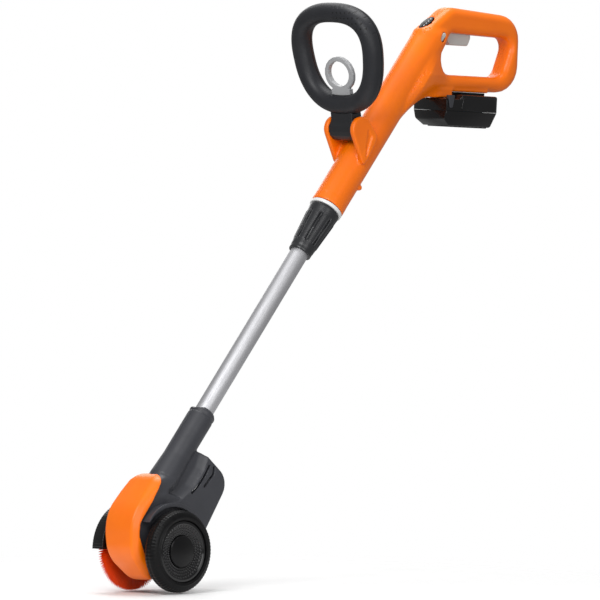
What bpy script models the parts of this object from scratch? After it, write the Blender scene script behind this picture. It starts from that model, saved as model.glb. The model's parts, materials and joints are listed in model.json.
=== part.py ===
"""Cordless patio weeder: a long-handled tool that spins a brush wheel beside a guide wheel.

Everything is measured from the guide wheel's axle. Three frames carry the pieces:
axle_frame (upright, at the axle), shaft_frame (along the leaning tube) and the two
handle frames that stand on the shaft. +X points back to the user, +Y is the brush side
and +Z is up. At the end the whole tool is set so that its box stands on z = 0.
"""
import math

import bmesh
import bpy
from mathutils import Matrix, Vector

MM = 0.001
CLEARANCE = 0.3 * MM          # between pieces that touch
RUNNING_GAP = 0.4 * MM        # between a shaft and its bush
LEAST_FILLET = 0.8 * MM

# Shaft and telescopic tube, as stations along the shaft from the foot beside the axle
SHAFT_LEAN = math.radians(40.7)
AXLE_OFFSET = 47.5 * MM       # axle behind the shaft's centre line
NECK_TOP = 195 * MM
SOCKET_DEPTH = 53 * MM
VISIBLE_TUBE = 269 * MM
TUBE_RADIUS = 12.5 * MM
TUBE_WALL = 1.5 * MM
TUBE_INSERTION = 176 * MM     # tube above the collar's lower rim

# Twist collar and what it grips
COLLAR_LENGTH = 72 * MM
COLLAR_LOW_RADIUS = 16 * MM
COLLAR_TOP_RADIUS = 21.5 * MM
COLLAR_CONE_RADIUS = 17.8 * MM
COLLAR_SLOTS = 8
COLLAR_SLOT_WIDTH = 6 * MM
COLLAR_SLOT_DEPTH = 1.6 * MM
COLLET_RADIUS = 17 * MM
COLLET_SEAT = 6.4 * MM        # collet's seat above the housing's lower edge
COLLET_FLANGE_LOW = 2 * MM
COLLET_CONE = 20 * MM
COLLAR_CONE_LEAD = MM         # collar's cone below the collet's
COLLET_SLIT = 2 * MM
RING_HEIGHT = 5 * MM
RING_RADIUS = 24 * MM
SLEEVE_LENGTH = 150 * MM
SLEEVE_WALL = 3 * MM

# Orange handle housing
HOUSING_RADIUS = 22.75 * MM
HOUSING_WALL = 3.2 * MM
BARREL_LENGTH = 285 * MM      # straight part of the housing, up to its domed end
GRIP_DROP = 36.6 * MM         # from the barrel's domed end down to the D-handle's own frame
GRIP_TILT = math.radians(4)
GRIP_HALF_WIDTH = 16 * MM
GRIP_WALL = 2.6 * MM
GRIP_EDGE = 11 * MM
HAND_HOLE_EDGE = 9 * MM
GRIP_OUTLINE = [(0, 30, 0), (5, 44, 0), (50, 76.5, 26), (182.5, 67.5, 30), (184, -33.5, 34),
                (20, -37, 0), (-30, -44, 0)]
FOOT_OUTLINE = [(-30, -46, 0), (-30, -34, 0), (60, -33, 0), (60, -44.5, 2)]
FOOT_HALF_WIDTH = 14 * MM
HAND_HOLE = [(21, -12.5, 12), (57, 39, 7), (165, 37, 14), (147, -13, 16)]
HANDLE_SCREWS = [(112, 53), (173, 14), (92, -24)]
SCREW_HEAD_RADIUS = 3.2 * MM
SCREW_SHANK_RADIUS = 1.6 * MM
SCREW_BOSS_RADIUS = 4.4 * MM
SCREW_LENGTH = 22 * MM
SPLIT_GAP = 0.15 * MM
HALF_REACH = 60 * MM          # how far to each side the keeping boxes reach

# Trigger, switch and lock-off
TRIGGER_OUTLINE = [(53, 49, 3), (95, 49, 2), (97.5, 36, 4), (93, 25.5, 4), (58, 25.5, 5), (52, 41, 3)]
TRIGGER_PIVOT = (57 * MM, 45 * MM)
TRIGGER_HALF_WIDTH = 5.6 * MM
TRIGGER_PIN_RADIUS = 1.5 * MM
TRIGGER_PIN_HALF = 12 * MM
SWITCH_HALF_WIDTH = 8.5 * MM
BOARD_HALF_WIDTH = 12.8 * MM
SWITCH_LOW = (62 * MM, 55.5 * MM)
SWITCH_SIZE = (22 * MM, 12 * MM)
TRIGGER_SPRING_X = 75 * MM
LOCK_OFF_RISE = 48 * MM       # above the D-handle's own frame
LOCK_OFF_OFFSET = 5 * MM
LOCK_OFF_RADIUS = 3 * MM
LOCK_OFF_LENGTH = 14 * MM
LOCK_OFF_PROUD = 3.5 * MM
INDICATOR_LENGTH = 27 * MM
INDICATOR_WIDTH = 15 * MM
INDICATOR_PLACE = 17 * MM

# Loop handle
PIVOT_RISE = 103.4 * MM       # above the housing's lower end
PIVOT_OFFSET = 38 * MM
LOOP_LEAN = math.radians(-10)
LOOP_CENTRE = 96 * MM
LOOP_HALF_WIDTH = 70.5 * MM
LOOP_HALF_HEIGHT = 62.5 * MM
LOOP_SQUARENESS = 2.5
LOOP_TAPER = 0.12
LOOP_BAR_DEPTH = 14.5 * MM
LOOP_BAR_HALF = 13 * MM
LOOP_SEAM = 3 * MM
LOOP_STEPS = 36
TONGUE_HALF_WIDTH = 21 * MM
TONGUE_RADIUS = 15.5 * MM
EAR_RADIUS = 17.5 * MM
EAR_THICKNESS = 7.5 * MM
PIVOT_PIN_RADIUS = 4 * MM
PIVOT_PIN_SEAT = 4 * MM
RING_CENTRE = 74 * MM
RING_SIZE = (50 * MM, 47 * MM)
RING_HOLE = (36 * MM, 33 * MM)
RING_BASE_HALF = 17 * MM
RING_THICKNESS = 7 * MM
RING_SHIFT = -1 * MM
STEM_HALF_WIDTH = 6 * MM
STEM_THICKNESS = 5 * MM
STEM_LOW = 24 * MM
PLUNGER_RADIUS = 2 * MM
PLUNGER_FOOT_RADIUS = 4.6 * MM
PLUNGER_LOW = 8.8 * MM
PLUNGER_FOOT = 1.5 * MM
SPRING_WIRE = 0.55 * MM

# Battery pack, in the grip frame
PACK_LENGTH = 95 * MM
PACK_HALF_WIDTH = 32 * MM
PACK_FRONT = 33 * MM
PACK_STEP = 62 * MM
PACK_TOP = -40 * MM
PACK_STEP_DROP = 5.6 * MM
PACK_BOTTOM = -83.5 * MM
PACK_WALL = 2.2 * MM
PACK_SEAM = -62 * MM
PACK_CHAMFER = (12 * MM, 9 * MM)
CHANNEL_NECK_HALF = 12.4 * MM
CHANNEL_HALF = 17.4 * MM
CHANNEL_LIP = 1.9 * MM
CHANNEL_DEPTH = 5.2 * MM
CHANNEL_END = 122 * MM
RAIL_START = 78 * MM
CELL_RADIUS = 9 * MM
CELL_LENGTH = 65 * MM
CELL_FRONT = 50 * MM
LATCH_OUTLINE = [(35, -41, 1), (47, -41, 1), (43.5, -58, 2), (38.5, -58, 2)]
LATCH_PROUD = 1.2 * MM
LATCH_DEPTH = 4 * MM
CONTACT_THICKNESS = 0.8 * MM
CONTACT_PITCH = 8 * MM

# Head housing, in the axle frame
HEAD_NEAR = -22 * MM
HEAD_FAR = 30 * MM
DRUM_CENTRE = 17.6 * MM
DRUM_RADIUS = 57.5 * MM
DRUM_WALL = 3.5 * MM
NECK_RADIUS = 18 * MM
NECK_FLARE_RADIUS = 20 * MM
POD_HALF_WIDTH = 23 * MM
POD_OUTLINE = [(14, 143, 8), (79, 143, 24), (91, 40, 5), (60, 0, 0), (14, 60, 0)]
ARCH_INNER = 58.2 * MM
ARCH_OUTER = 62.5 * MM
ARCH_REACH = 15 * MM
ARCH_ANGLES = (math.radians(32), math.radians(122))
GEAR_BLOCK_RADIUS = 27 * MM
GEAR_CHAMBER_RADIUS = 21.5 * MM
GEAR_CHAMBER = (-7 * MM, 13 * MM)
COVER_OUTLINE = [(3, 101.5, 0), (-3.5, 101, 8), (-60.5, 44.5, 50), (-60.5, -8, 46), (-31, -39.5, 10),
                 (-20, -37.5, 4), (-31, -18, 20), (-45, 18, 30), (-44, 43, 20), (-15, 75, 10), (3, 88, 4)]
COVER_TAPER = [(-26, -60), (34, -60), (34, 68), (19, 103), (-14, 103), (-26, 74)]
COVER_SIDE = 3.5 * MM
COVER_EDGE = 3 * MM
GUARD_INNER = 60 * MM
GUARD_OUTER = 62.4 * MM
GUARD_REACH = 53 * MM
GUARD_WEB = 1.8 * MM
GUARD_BOSS_RADIUS = 30 * MM
GUARD_HOLE_RADIUS = 14 * MM
GUARD_ANGLES = (math.radians(20), math.radians(178))
HEAD_SCREWS = [(76, 78), (75, 122), (24, 132)]

# Motor, gears, spindle
MOTOR_RADIUS = 18.5 * MM
MOTOR_LOW = 62 * MM
MOTOR_LENGTH = 63 * MM
MOTOR_WALL = 2 * MM
MOTOR_BOSS_RADIUS = 6.5 * MM
MOTOR_BOSS = 4 * MM
ROTOR_RADIUS = 2 * MM
ARMATURE_RADIUS = 14 * MM
PINION_TEETH = 8
GEAR_TEETH = 24
GEAR_MODULE = 1.5 * MM
GEAR_FACE = 6 * MM
GEAR_ADDENDUM = 1.2 * MM
GEAR_DEDENDUM = 1.7 * MM
SPINDLE_RADIUS = 4 * MM
SPINDLE_LOW = -11.5 * MM
SPINDLE_HIGH = 56 * MM
BEARING_RADIUS = 9.5 * MM
BEARING_WIDTH = 5 * MM

# Brush on the far side, wheel on the near side
BRUSH_RADIUS = 56 * MM
BRUSH_HUB_RADIUS = 24 * MM
BRUSH_START = 37 * MM
BRUSH_WIDTH = 12 * MM
STRAND_COLUMNS = 52           # each column and row of the hub's rim holds two strands
STRAND_ROWS = 3
STRAND_STAGGER = 0.6 * MM
STRAND_TIP = 0.45
FLANGE_RADIUS = 11 * MM
FLANGE_WIDTH = 1.7 * MM
NUT_RADIUS = 7 * MM
NUT_WIDTH = 4.5 * MM
WHEEL_RADIUS = 55 * MM
TYRE_MIDDLE = 46 * MM
TYRE_HALF_WIDTH = 11.5 * MM
TYRE_BASE = 41 * MM
HUB_RIM_RADIUS = 40.6 * MM
HUB_RIM_WALL = 3.1 * MM
HUB_BACK = 38 * MM
HUB_FACE = 56 * MM
HUB_WEB_BACK = 47 * MM
HUB_BOSS_RADIUS = 8 * MM
CAP_RADIUS = 21.4 * MM
AXLE_RADIUS = 4 * MM
AXLE_END = 52 * MM
CLIP_THICKNESS = 1.2 * MM

# Worked out from the sizes above
COLLAR_LOW = NECK_TOP + VISIBLE_TUBE
COLLAR_TOP = COLLAR_LOW + COLLAR_LENGTH
HOUSING_LOW = COLLAR_TOP + RING_HEIGHT + 2 * CLEARANCE
HOUSING_DOME = HOUSING_LOW + BARREL_LENGTH
GRIP_STATION = HOUSING_DOME - GRIP_DROP
LOCK_OFF_STATION = GRIP_STATION + LOCK_OFF_RISE
PIVOT_STATION = HOUSING_LOW + PIVOT_RISE
HOUSING_BORE = HOUSING_RADIUS - HOUSING_WALL
TUBE_LOW = NECK_TOP - SOCKET_DEPTH
TUBE_HIGH = COLLAR_LOW + TUBE_INSERTION
TUBE_BORE = TUBE_RADIUS + CLEARANCE
COLLET_LOW = COLLAR_LOW + 2 * COLLAR_LENGTH / 9
COLLET_TOP = HOUSING_LOW + COLLET_SEAT - CLEARANCE
POD_SHIFT = AXLE_OFFSET
GEAR_CONE = math.hypot(GEAR_TEETH, PINION_TEETH) * GEAR_MODULE / 2
GEAR_ANGLE = math.atan2(GEAR_TEETH, PINION_TEETH)
PINION_ANGLE = math.pi / 2 - GEAR_ANGLE
WHEEL_SEGMENTS = 28
LARGE_SEGMENTS = 20
ROUND_SEGMENTS = 14
SMALL_SEGMENTS = 8

FINISHES = {
    "orange_abs": ((0.95, 0.25, 0.01), 0.35, 0.0),
    "dark_abs": ((0.045, 0.046, 0.05), 0.5, 0.0),
    "black_abs": ((0.012, 0.012, 0.014), 0.4, 0.0),
    "soft_grip": ((0.03, 0.03, 0.034), 0.6, 0.0),
    "grey_abs": ((0.55, 0.54, 0.51), 0.45, 0.0),
    "white_abs": ((0.85, 0.85, 0.85), 0.4, 0.0),
    "anodised_aluminium": ((0.68, 0.68, 0.7), 0.35, 1.0),
    "steel": ((0.55, 0.55, 0.56), 0.35, 1.0),
    "rubber": ((0.015, 0.015, 0.016), 0.75, 0.0),
    "bristle_nylon": ((0.75, 0.05, 0.0), 0.5, 0.0),
    "circuit_board": ((0.02, 0.16, 0.06), 0.5, 0.0),
    "cell_wrap": ((0.05, 0.2, 0.5), 0.4, 0.0),
}
AXES = {"X": (2, 0, 1), "Y": (0, 2, 1), "Z": (0, 1, 2)}


def clear_scene():
    """Remove every object of the open file."""
    for old in list(bpy.data.objects):
        bpy.data.objects.remove(old, do_unlink=True)


def finish(name):
    """Return the named Principled material, made on first use."""
    found = bpy.data.materials.get(name)
    if found:
        return found
    colour, roughness, metallic = FINISHES[name]
    made = bpy.data.materials.new(name)
    made.use_nodes = True
    shader = made.node_tree.nodes["Principled BSDF"]
    shader.inputs["Base Color"].default_value = (*colour, 1)
    shader.inputs["Roughness"].default_value = roughness
    shader.inputs["Metallic"].default_value = metallic
    made.diffuse_color = (*colour, 1)
    return made


def frame_at(name, parent=None, place=(0, 0, 0), turn=0.0):
    """Return an empty at a place, turned about Y under its parent."""
    empty = bpy.data.objects.new(name, None)
    bpy.context.scene.collection.objects.link(empty)
    empty.parent = parent
    empty.location = place
    empty.rotation_euler = (0, turn, 0)
    return empty


def add_solid(name, bm, frame, look):
    """Close the bmesh into an object under a frame, smooth on its round faces."""
    bmesh.ops.remove_doubles(bm, verts=bm.verts, dist=1e-7)
    bmesh.ops.recalc_face_normals(bm, faces=bm.faces)
    mesh = bpy.data.meshes.new(name)
    bm.to_mesh(mesh)
    bm.free()
    mesh.shade_smooth()
    mesh.set_sharp_from_angle(angle=math.radians(35))
    solid = bpy.data.objects.new(name, mesh)
    bpy.context.scene.collection.objects.link(solid)
    solid.parent = frame
    mesh.materials.append(finish(look or "dark_abs"))
    if look is None:
        solid.hide_render = True
        solid.display_type = "WIRE"
    return solid


def weld(solid):
    """Merge the points that lie on one another."""
    modifier = solid.modifiers.new("joined_points", "WELD")
    modifier.merge_threshold = 0.002 * MM


def boolean(solid, others, operation):
    """Add one exact Boolean modifier for each other solid, each with its points merged."""
    for other in others:
        modifier = solid.modifiers.new(operation.lower() + "_" + other.name, "BOOLEAN")
        modifier.object = other
        modifier.operation = operation
        modifier.solver = "EXACT"
        weld(solid)


def cut(solid, *cutters):
    """Take the cutters out of the solid."""
    boolean(solid, cutters, "DIFFERENCE")


def fuse(solid, *others):
    """Join the other solids to this one."""
    boolean(solid, others, "UNION")


def keep(solid, *regions):
    """Keep only what lies inside every region."""
    boolean(solid, regions, "INTERSECT")


def turned(name, profile, frame, look, segments=ROUND_SEGMENTS, along="Z", place=(0, 0, 0), sweep=None):
    """Spin a profile of (radius, height) points about the frame's Z, +Y or -Y line."""
    bm = bmesh.new()
    start = sweep[0] if sweep else 0.0
    angle = sweep[1] - sweep[0] if sweep else 2 * math.pi
    verts = [bm.verts.new((r * math.cos(start), r * math.sin(start), h)) for r, h in profile]
    closed = profile[0][0] > 0 or profile[-1][0] > 0
    pairs = list(zip(verts, verts[1:] + (verts[:1] if closed else [])))
    pairs = pairs if closed else pairs[:len(verts) - 1]
    edges = [bm.edges.new(pair) for pair in pairs]
    first = bm.faces.new(verts) if sweep else None
    bmesh.ops.spin(bm, geom=([first] if first else []) + verts + edges, cent=(0, 0, 0), axis=(0, 0, 1),
                   angle=angle, steps=segments, use_merge=not sweep, use_duplicate=False)
    solid = add_solid(name, bm, frame, look)
    solid.location = place
    turns = {"Z": 0.0, "+Y": -math.pi / 2, "-Y": math.pi / 2}
    solid.rotation_euler = (turns[along], 0, 0)
    return solid


def prism(name, outline, low, high, frame, look, along="Y", bevel=0.0, bevel_segments=2):
    """Extrude an outline along one of the frame's axes, with rounded rims if asked."""
    order = AXES[along]
    bm = bmesh.new()
    verts = [bm.verts.new(tuple((a, b, low)[order[axis]] for axis in range(3))) for a, b in outline]
    face = bm.faces.new(verts)
    grown = bmesh.ops.extrude_face_region(bm, geom=[face])["geom"]
    shift = tuple((0, 0, high - low)[order[axis]] for axis in range(3))
    bmesh.ops.translate(bm, vec=shift, verts=[v for v in grown if isinstance(v, bmesh.types.BMVert)])
    solid = add_solid(name, bm, frame, look)
    if bevel:
        modifier = solid.modifiers.new("rounded_rims", "BEVEL")
        modifier.width = bevel
        modifier.segments = bevel_segments
        modifier.angle_limit = math.radians(40)
    return solid


def slab(name, corners, half, edge, wall, frame, steps=2):
    """Build a form along Y from a cornered outline moved in by a wall; its rims round in, or flare out."""
    reach = abs(edge)
    stations = []
    for k in range(steps + 1):
        t = math.pi / 2 * k / steps
        stations.append((half - reach + reach * math.sin(t), wall + edge * (1 - math.cos(t))))
    if edge < 0:
        stations.append((half + 2 * MM, wall + edge))
    stations = [(-y, distance) for y, distance in reversed(stations)] + stations
    bm = bmesh.new()
    layers = [[bm.verts.new((a, y, b)) for a, b in shape(corners, distance)] for y, distance in stations]
    for low, high in zip(layers, layers[1:]):
        for i in range(len(low)):
            j = (i + 1) % len(low)
            bm.faces.new((low[i], low[j], high[j], high[i]))
    bm.faces.new(layers[0])
    bm.faces.new(layers[-1])
    return add_solid(name, bm, frame, None)


def box(a0, a1, b0, b1):
    """Return a rectangle's four corners."""
    return [(a0, b0), (a1, b0), (a1, b1), (a0, b1)]


def ellipse(a, b, width, height, segments=LARGE_SEGMENTS):
    """Return an ellipse about (a, b)."""
    angles = [2 * math.pi * i / segments for i in range(segments)]
    return [(a + width / 2 * math.cos(t), b + height / 2 * math.sin(t)) for t in angles]


def around(circles, segments=ROUND_SEGMENTS):
    """Return the convex outline around circles given as (a, b, radius)."""
    points = sorted({(round(a + r * math.cos(t), 7), round(b + r * math.sin(t), 7)) for a, b, r in circles
                     for t in [2 * math.pi * i / segments for i in range(segments)]})

    def half(ordered):
        """Return one side of the convex outline."""
        side = []
        for p in ordered:
            while len(side) > 1 and turn_of(side[-2], side[-1], p) <= 0:
                side.pop()
            side.append(p)
        return side[:-1]

    return half(points) + half(points[::-1])


def turn_of(p, q, r):
    """Return twice the signed area of a triangle."""
    return (q[0] - p[0]) * (r[1] - p[1]) - (q[1] - p[1]) * (r[0] - p[0])


def area_of(points):
    """Return the signed area of a polygon."""
    return sum(p[0] * q[1] - q[0] * p[1] for p, q in zip(points, points[1:] + points[:1])) / 2


def inset(corners, distance):
    """Move each side of a cornered outline inwards; corners are (a, b, fillet) in mm."""
    points = [Vector((a, b)) * MM for a, b, _ in corners]
    side = 1 if area_of([tuple(p) for p in points]) > 0 else -1
    moved = []
    for i, point in enumerate(points):
        before = (point - points[i - 1]).normalized()
        after = (points[(i + 1) % len(points)] - point).normalized()
        inward = (Vector((-before.y, before.x)) + Vector((-after.y, after.x))) * side
        spread = 1 + before.dot(after)
        shifted = point + inward * (distance / spread)
        turn = (before.x * after.y - before.y * after.x) * side
        fillet = corners[i][2] * MM - (distance if turn > 0 else -distance)
        keeps_arc = corners[i][2] > 0 and fillet > LEAST_FILLET
        moved.append((shifted.x, shifted.y, fillet if keeps_arc else 0.0))
    return moved


def rounded(corners, step=math.radians(20)):
    """Return the outline of corners (a, b, fillet) with an arc at each filleted corner."""
    outline = []
    for i, (a, b, fillet) in enumerate(corners):
        here = Vector((a, b))
        to_last = Vector(corners[i - 1][:2]) - here
        to_next = Vector(corners[(i + 1) % len(corners)][:2]) - here
        opening = to_last.angle(to_next)
        if fillet <= 0 or opening > math.radians(179):
            outline.append((a, b))
            continue
        reach = fillet / math.tan(opening / 2)
        centre = here + (to_last.normalized() + to_next.normalized()).normalized() * (
            fillet / math.sin(opening / 2))
        start = here + to_last.normalized() * reach - centre
        end = here + to_next.normalized() * reach - centre
        sweep = math.atan2(start.x * end.y - start.y * end.x, start.dot(end))
        count = max(2, math.ceil(abs(sweep) / step))
        for k in range(count + 1):
            t = sweep * k / count
            outline.append((centre.x + start.x * math.cos(t) - start.y * math.sin(t),
                            centre.y + start.x * math.sin(t) + start.y * math.cos(t)))
    return outline


def shape(corners, distance=0.0):
    """Return a filleted outline from mm corners, moved inwards by a distance."""
    return rounded(inset(corners, distance))


def coil(name, frame, radius, low, high, turns, wire, place=(0, 0, 0)):
    """Return a helical compression spring about the frame's Z line and print its own gap."""
    steps = 8
    count = turns * steps
    curve = bpy.data.curves.new(name, "CURVE")
    curve.dimensions = "3D"
    curve.bevel_depth = wire
    curve.bevel_resolution = 1
    curve.use_fill_caps = True
    spline = curve.splines.new("POLY")
    spline.points.add(count)
    rise = high - low - 2 * wire
    for i, point in enumerate(spline.points):
        t = 2 * math.pi * i / steps
        point.co = (radius * math.cos(t), radius * math.sin(t), low + wire + rise * i / count, 1)
    curve.materials.append(finish("steel"))
    solid = bpy.data.objects.new(name, curve)
    bpy.context.scene.collection.objects.link(solid)
    solid.parent = frame
    weld(solid)
    solid.location = place
    print(f"{name}: gap between turns {(rise / turns - 2 * wire) / MM:.2f} mm")
    return solid


def screw(name, frame, a, b, seat, direction):
    """Return a pan-head screw whose head rests at the seat, pointing along -Y or +Y."""
    head = 2.4 * MM
    profile = [(0, seat + head), (SCREW_HEAD_RADIUS * 0.8, seat + head), (SCREW_HEAD_RADIUS, seat),
               (SCREW_SHANK_RADIUS, seat),
               (SCREW_SHANK_RADIUS, seat - SCREW_LENGTH), (0, seat - SCREW_LENGTH - SCREW_SHANK_RADIUS)]
    return turned(name, profile, frame, "steel", SMALL_SEGMENTS, direction, (a, 0, b))


def screw_hole(name, frame, a, b, seat, face):
    """Return the cutter for one screw: its head's well and its shank's bore."""
    well = SCREW_HEAD_RADIUS + CLEARANCE
    bore = SCREW_SHANK_RADIUS + CLEARANCE
    low = seat - SCREW_LENGTH - SCREW_SHANK_RADIUS - CLEARANCE
    profile = [(0, face + MM), (well, face + MM), (well, seat - CLEARANCE),
               (bore, seat - CLEARANCE), (bore, low), (0, low)]
    return turned(name, profile, frame, None, SMALL_SEGMENTS, "+Y", (a, 0, b))


def halves(names, form, cutters, frame, look, reach):
    """Hollow a form out with its cutters and split it at the middle plane into two shells."""
    cut(form, *cutters)
    region = 1.6
    for name, low, high in ((names[0], -reach, -SPLIT_GAP), (names[1], SPLIT_GAP, reach)):
        shell = prism(name, box(-region, region, -region, region), low, high, frame, look)
        keep(shell, form)


def tube_and_collar(shaft):
    """Make the aluminium tube, the twist collar, its collet, the white ring and the guide sleeve."""
    turned("lower_tube", [(TUBE_RADIUS - TUBE_WALL, TUBE_LOW), (TUBE_RADIUS, TUBE_LOW),
                          (TUBE_RADIUS, TUBE_HIGH), (TUBE_RADIUS - TUBE_WALL, TUBE_HIGH)],
           shaft, "anodised_aluminium", LARGE_SEGMENTS)
    clamp_collar(shaft)
    tube_collet(shaft)
    ring_low = COLLAR_TOP + CLEARANCE
    turned("seal_ring", [(COLLET_RADIUS + CLEARANCE, ring_low), (RING_RADIUS - MM, ring_low),
                         (RING_RADIUS, ring_low + MM), (RING_RADIUS, ring_low + RING_HEIGHT - MM),
                         (RING_RADIUS - MM, ring_low + RING_HEIGHT),
                         (COLLET_RADIUS + CLEARANCE, ring_low + RING_HEIGHT)], shaft, "white_abs", LARGE_SEGMENTS)
    low = COLLET_TOP + 2 * CLEARANCE
    fit = HOUSING_BORE - CLEARANCE
    waist = TUBE_BORE + SLEEVE_WALL
    turned("guide_sleeve", [(TUBE_BORE, low), (fit, low), (fit, low + 10 * MM), (waist, low + 14 * MM),
                            (waist, low + SLEEVE_LENGTH - 14 * MM), (fit, low + SLEEVE_LENGTH - 10 * MM),
                            (fit, low + SLEEVE_LENGTH), (TUBE_BORE, low + SLEEVE_LENGTH)],
           shaft, "black_abs", LARGE_SEGMENTS)


def clamp_collar(shaft):
    """Make the tapered twist nut with its long grip slots."""
    low = COLLAR_LOW
    top = COLLAR_TOP
    slant = (COLLAR_TOP_RADIUS - COLLAR_LOW_RADIUS) / COLLAR_LENGTH
    cone_low = COLLET_LOW - COLLAR_CONE_LEAD
    body = [(TUBE_BORE, low), (COLLAR_LOW_RADIUS - MM, low), (COLLAR_LOW_RADIUS, low + MM),
            (COLLAR_LOW_RADIUS + slant * 20 * MM, low + 20 * MM),
            (COLLAR_TOP_RADIUS - slant * 10 * MM, top - 10 * MM), (COLLAR_TOP_RADIUS, top - 2 * MM),
            (COLLAR_TOP_RADIUS - MM, top), (COLLAR_CONE_RADIUS, top),
            (COLLAR_CONE_RADIUS, cone_low + COLLET_CONE - MM),
            (TUBE_BORE + 1.5 * MM, cone_low), (TUBE_BORE, cone_low)]
    collar = turned("clamp_collar", body, shaft, "dark_abs", LARGE_SEGMENTS)
    for i in range(COLLAR_SLOTS):
        angle = 2 * math.pi * (i + 0.5) / COLLAR_SLOTS
        slot_floor = COLLAR_TOP_RADIUS - slant * COLLAR_LENGTH / 2 - COLLAR_SLOT_DEPTH
        slot = prism(f"collar_slot_{i + 1}", box(-COLLAR_SLOT_WIDTH / 2, COLLAR_SLOT_WIDTH / 2, low + 14 * MM,
                                                 top - 12 * MM), slot_floor, slot_floor + 12 * MM, shaft, None)
        lean = Matrix.Rotation(angle, 4, "Z") @ Matrix.Translation((0, slot_floor, low)) \
            @ Matrix.Rotation(-math.atan(slant), 4, "X") @ Matrix.Translation((0, -slot_floor, -low))
        slot.data.transform(lean @ Matrix.Translation((0, -slant * COLLAR_LENGTH / 2, 0)))
        cut(collar, slot)


def tube_collet(shaft):
    """Make the slit cone that the collar squeezes on to the tube."""
    low = COLLET_LOW
    flange_low = HOUSING_LOW + COLLET_FLANGE_LOW
    profile = [(TUBE_BORE, low), (TUBE_BORE + 1.3 * MM, low), (COLLET_RADIUS, low + COLLET_CONE),
               (COLLET_RADIUS, flange_low), (HOUSING_BORE - CLEARANCE, flange_low),
               (HOUSING_BORE - CLEARANCE, COLLET_TOP), (TUBE_BORE, COLLET_TOP)]
    collet = turned("tube_collet", profile, shaft, "grey_abs", LARGE_SEGMENTS)
    slit_top = COLLAR_TOP - 8 * MM
    slit = prism("collet_slit_1", box(-COLLET_SLIT / 2, COLLET_SLIT / 2, low - MM, slit_top),
                 -25 * MM, 25 * MM, shaft, None)
    crossing = prism("collet_slit_2", box(-COLLET_SLIT / 2, COLLET_SLIT / 2, low - MM, slit_top),
                     -25 * MM, 25 * MM, shaft, None, "X")
    cut(collet, slit, crossing)


def handle_housing(shaft, grip):
    """Make the orange clamshell: barrel, D-handle, clevis ears and the pack's foot."""
    form = turned("handle_form", domed(HOUSING_RADIUS, HOUSING_LOW, HOUSING_DOME), shaft, None,
                  LARGE_SEGMENTS)
    handle = slab("grip_form", GRIP_OUTLINE, GRIP_HALF_WIDTH, GRIP_EDGE, 0, grip)
    cut(handle, slab("hand_hole", HAND_HOLE, GRIP_HALF_WIDTH, -HAND_HOLE_EDGE, 0, grip))
    foot = prism("foot_form", shape(FOOT_OUTLINE), -FOOT_HALF_WIDTH, FOOT_HALF_WIDTH, grip, None,
                 bevel=1.5 * MM, bevel_segments=1)
    fuse(form, handle, foot, *ears(shaft))
    cutters = [handle_hollow(shaft, grip), pivot_space(shaft), *handle_passages(shaft, grip)]
    halves(("handle_shell_near", "handle_shell_far"), form, cutters, shaft, "orange_abs", HALF_REACH)
    for i, (a, b) in enumerate(HANDLE_SCREWS):
        screw(f"handle_screw_{i + 1}", grip, a * MM, b * MM, GRIP_HALF_WIDTH - 3 * MM, "+Y")


def domed(radius, low, high):
    """Return the profile of a round bar with a domed upper end."""
    arc = [(radius * math.cos(t), high + radius * math.sin(t))
           for t in [math.pi / 2 * i / 3 for i in range(4)]]
    arc[-1] = (0, high + radius)
    return [(0, low), (radius, low)] + arc


def ears(shaft):
    """Return the two clevis ears that carry the loop handle's pivot."""
    inner = TONGUE_HALF_WIDTH + CLEARANCE
    outer = inner + EAR_THICKNESS
    lobe = (-PIVOT_OFFSET, PIVOT_STATION, EAR_RADIUS)
    outline = around([lobe, (-16 * MM, PIVOT_STATION + 5 * MM, 8 * MM),
                      (-8 * MM, PIVOT_STATION - 27 * MM, 5 * MM)])
    root = around([(-13 * MM, PIVOT_STATION, 6 * MM), (-10 * MM, PIVOT_STATION - 22 * MM, 5 * MM)])
    made = []
    for side, name in ((-1, "near"), (1, "far")):
        lobe_low, lobe_high = sorted((side * inner, side * outer))
        root_low, root_high = sorted((side * 10 * MM, side * (outer - MM)))
        made.append(prism(f"ear_{name}_form", outline, lobe_low, lobe_high, shaft, None, bevel=2 * MM,
                          bevel_segments=1))
        made.append(prism(f"ear_root_{name}_form", root, root_low, root_high, shaft, None))
    return made


def handle_hollow(shaft, grip):
    """Return the space inside the clamshell, less the screw bosses."""
    hollow = turned("handle_hollow", domed(HOUSING_BORE, HOUSING_LOW - 5 * MM, HOUSING_DOME), shaft, None,
                    LARGE_SEGMENTS)
    half = GRIP_HALF_WIDTH - GRIP_WALL
    room = slab("grip_hollow", GRIP_OUTLINE, half, GRIP_EDGE - GRIP_WALL, GRIP_WALL, grip, 1)
    cut(room, slab("hand_hole_wall", HAND_HOLE, half, GRIP_WALL - HAND_HOLE_EDGE, -GRIP_WALL, grip, 1))
    bosses = [turned(f"screw_boss_{i + 1}", [(0, -20 * MM), (SCREW_BOSS_RADIUS, -20 * MM),
                                            (SCREW_BOSS_RADIUS, 20 * MM), (0, 20 * MM)],
                     grip, None, SMALL_SEGMENTS, "+Y", (a * MM, 0, b * MM))
              for i, (a, b) in enumerate(HANDLE_SCREWS)]
    cut(room, *bosses)
    fuse(hollow, room)
    return hollow


def pivot_space(shaft):
    """Return the cutter for the loop's tongue and its pin between the ears."""
    reach = TONGUE_HALF_WIDTH + CLEARANCE
    slot = TONGUE_RADIUS + 2 * CLEARANCE
    pin = PIVOT_PIN_RADIUS + CLEARANCE
    seat = reach + PIVOT_PIN_SEAT
    profile = [(0, -seat), (pin, -seat), (pin, -reach), (slot, -reach),
               (slot, reach), (pin, reach), (pin, seat), (0, seat)]
    return turned("pivot_space", profile, shaft, None, ROUND_SEGMENTS, "+Y", (-PIVOT_OFFSET, 0, PIVOT_STATION))


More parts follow.
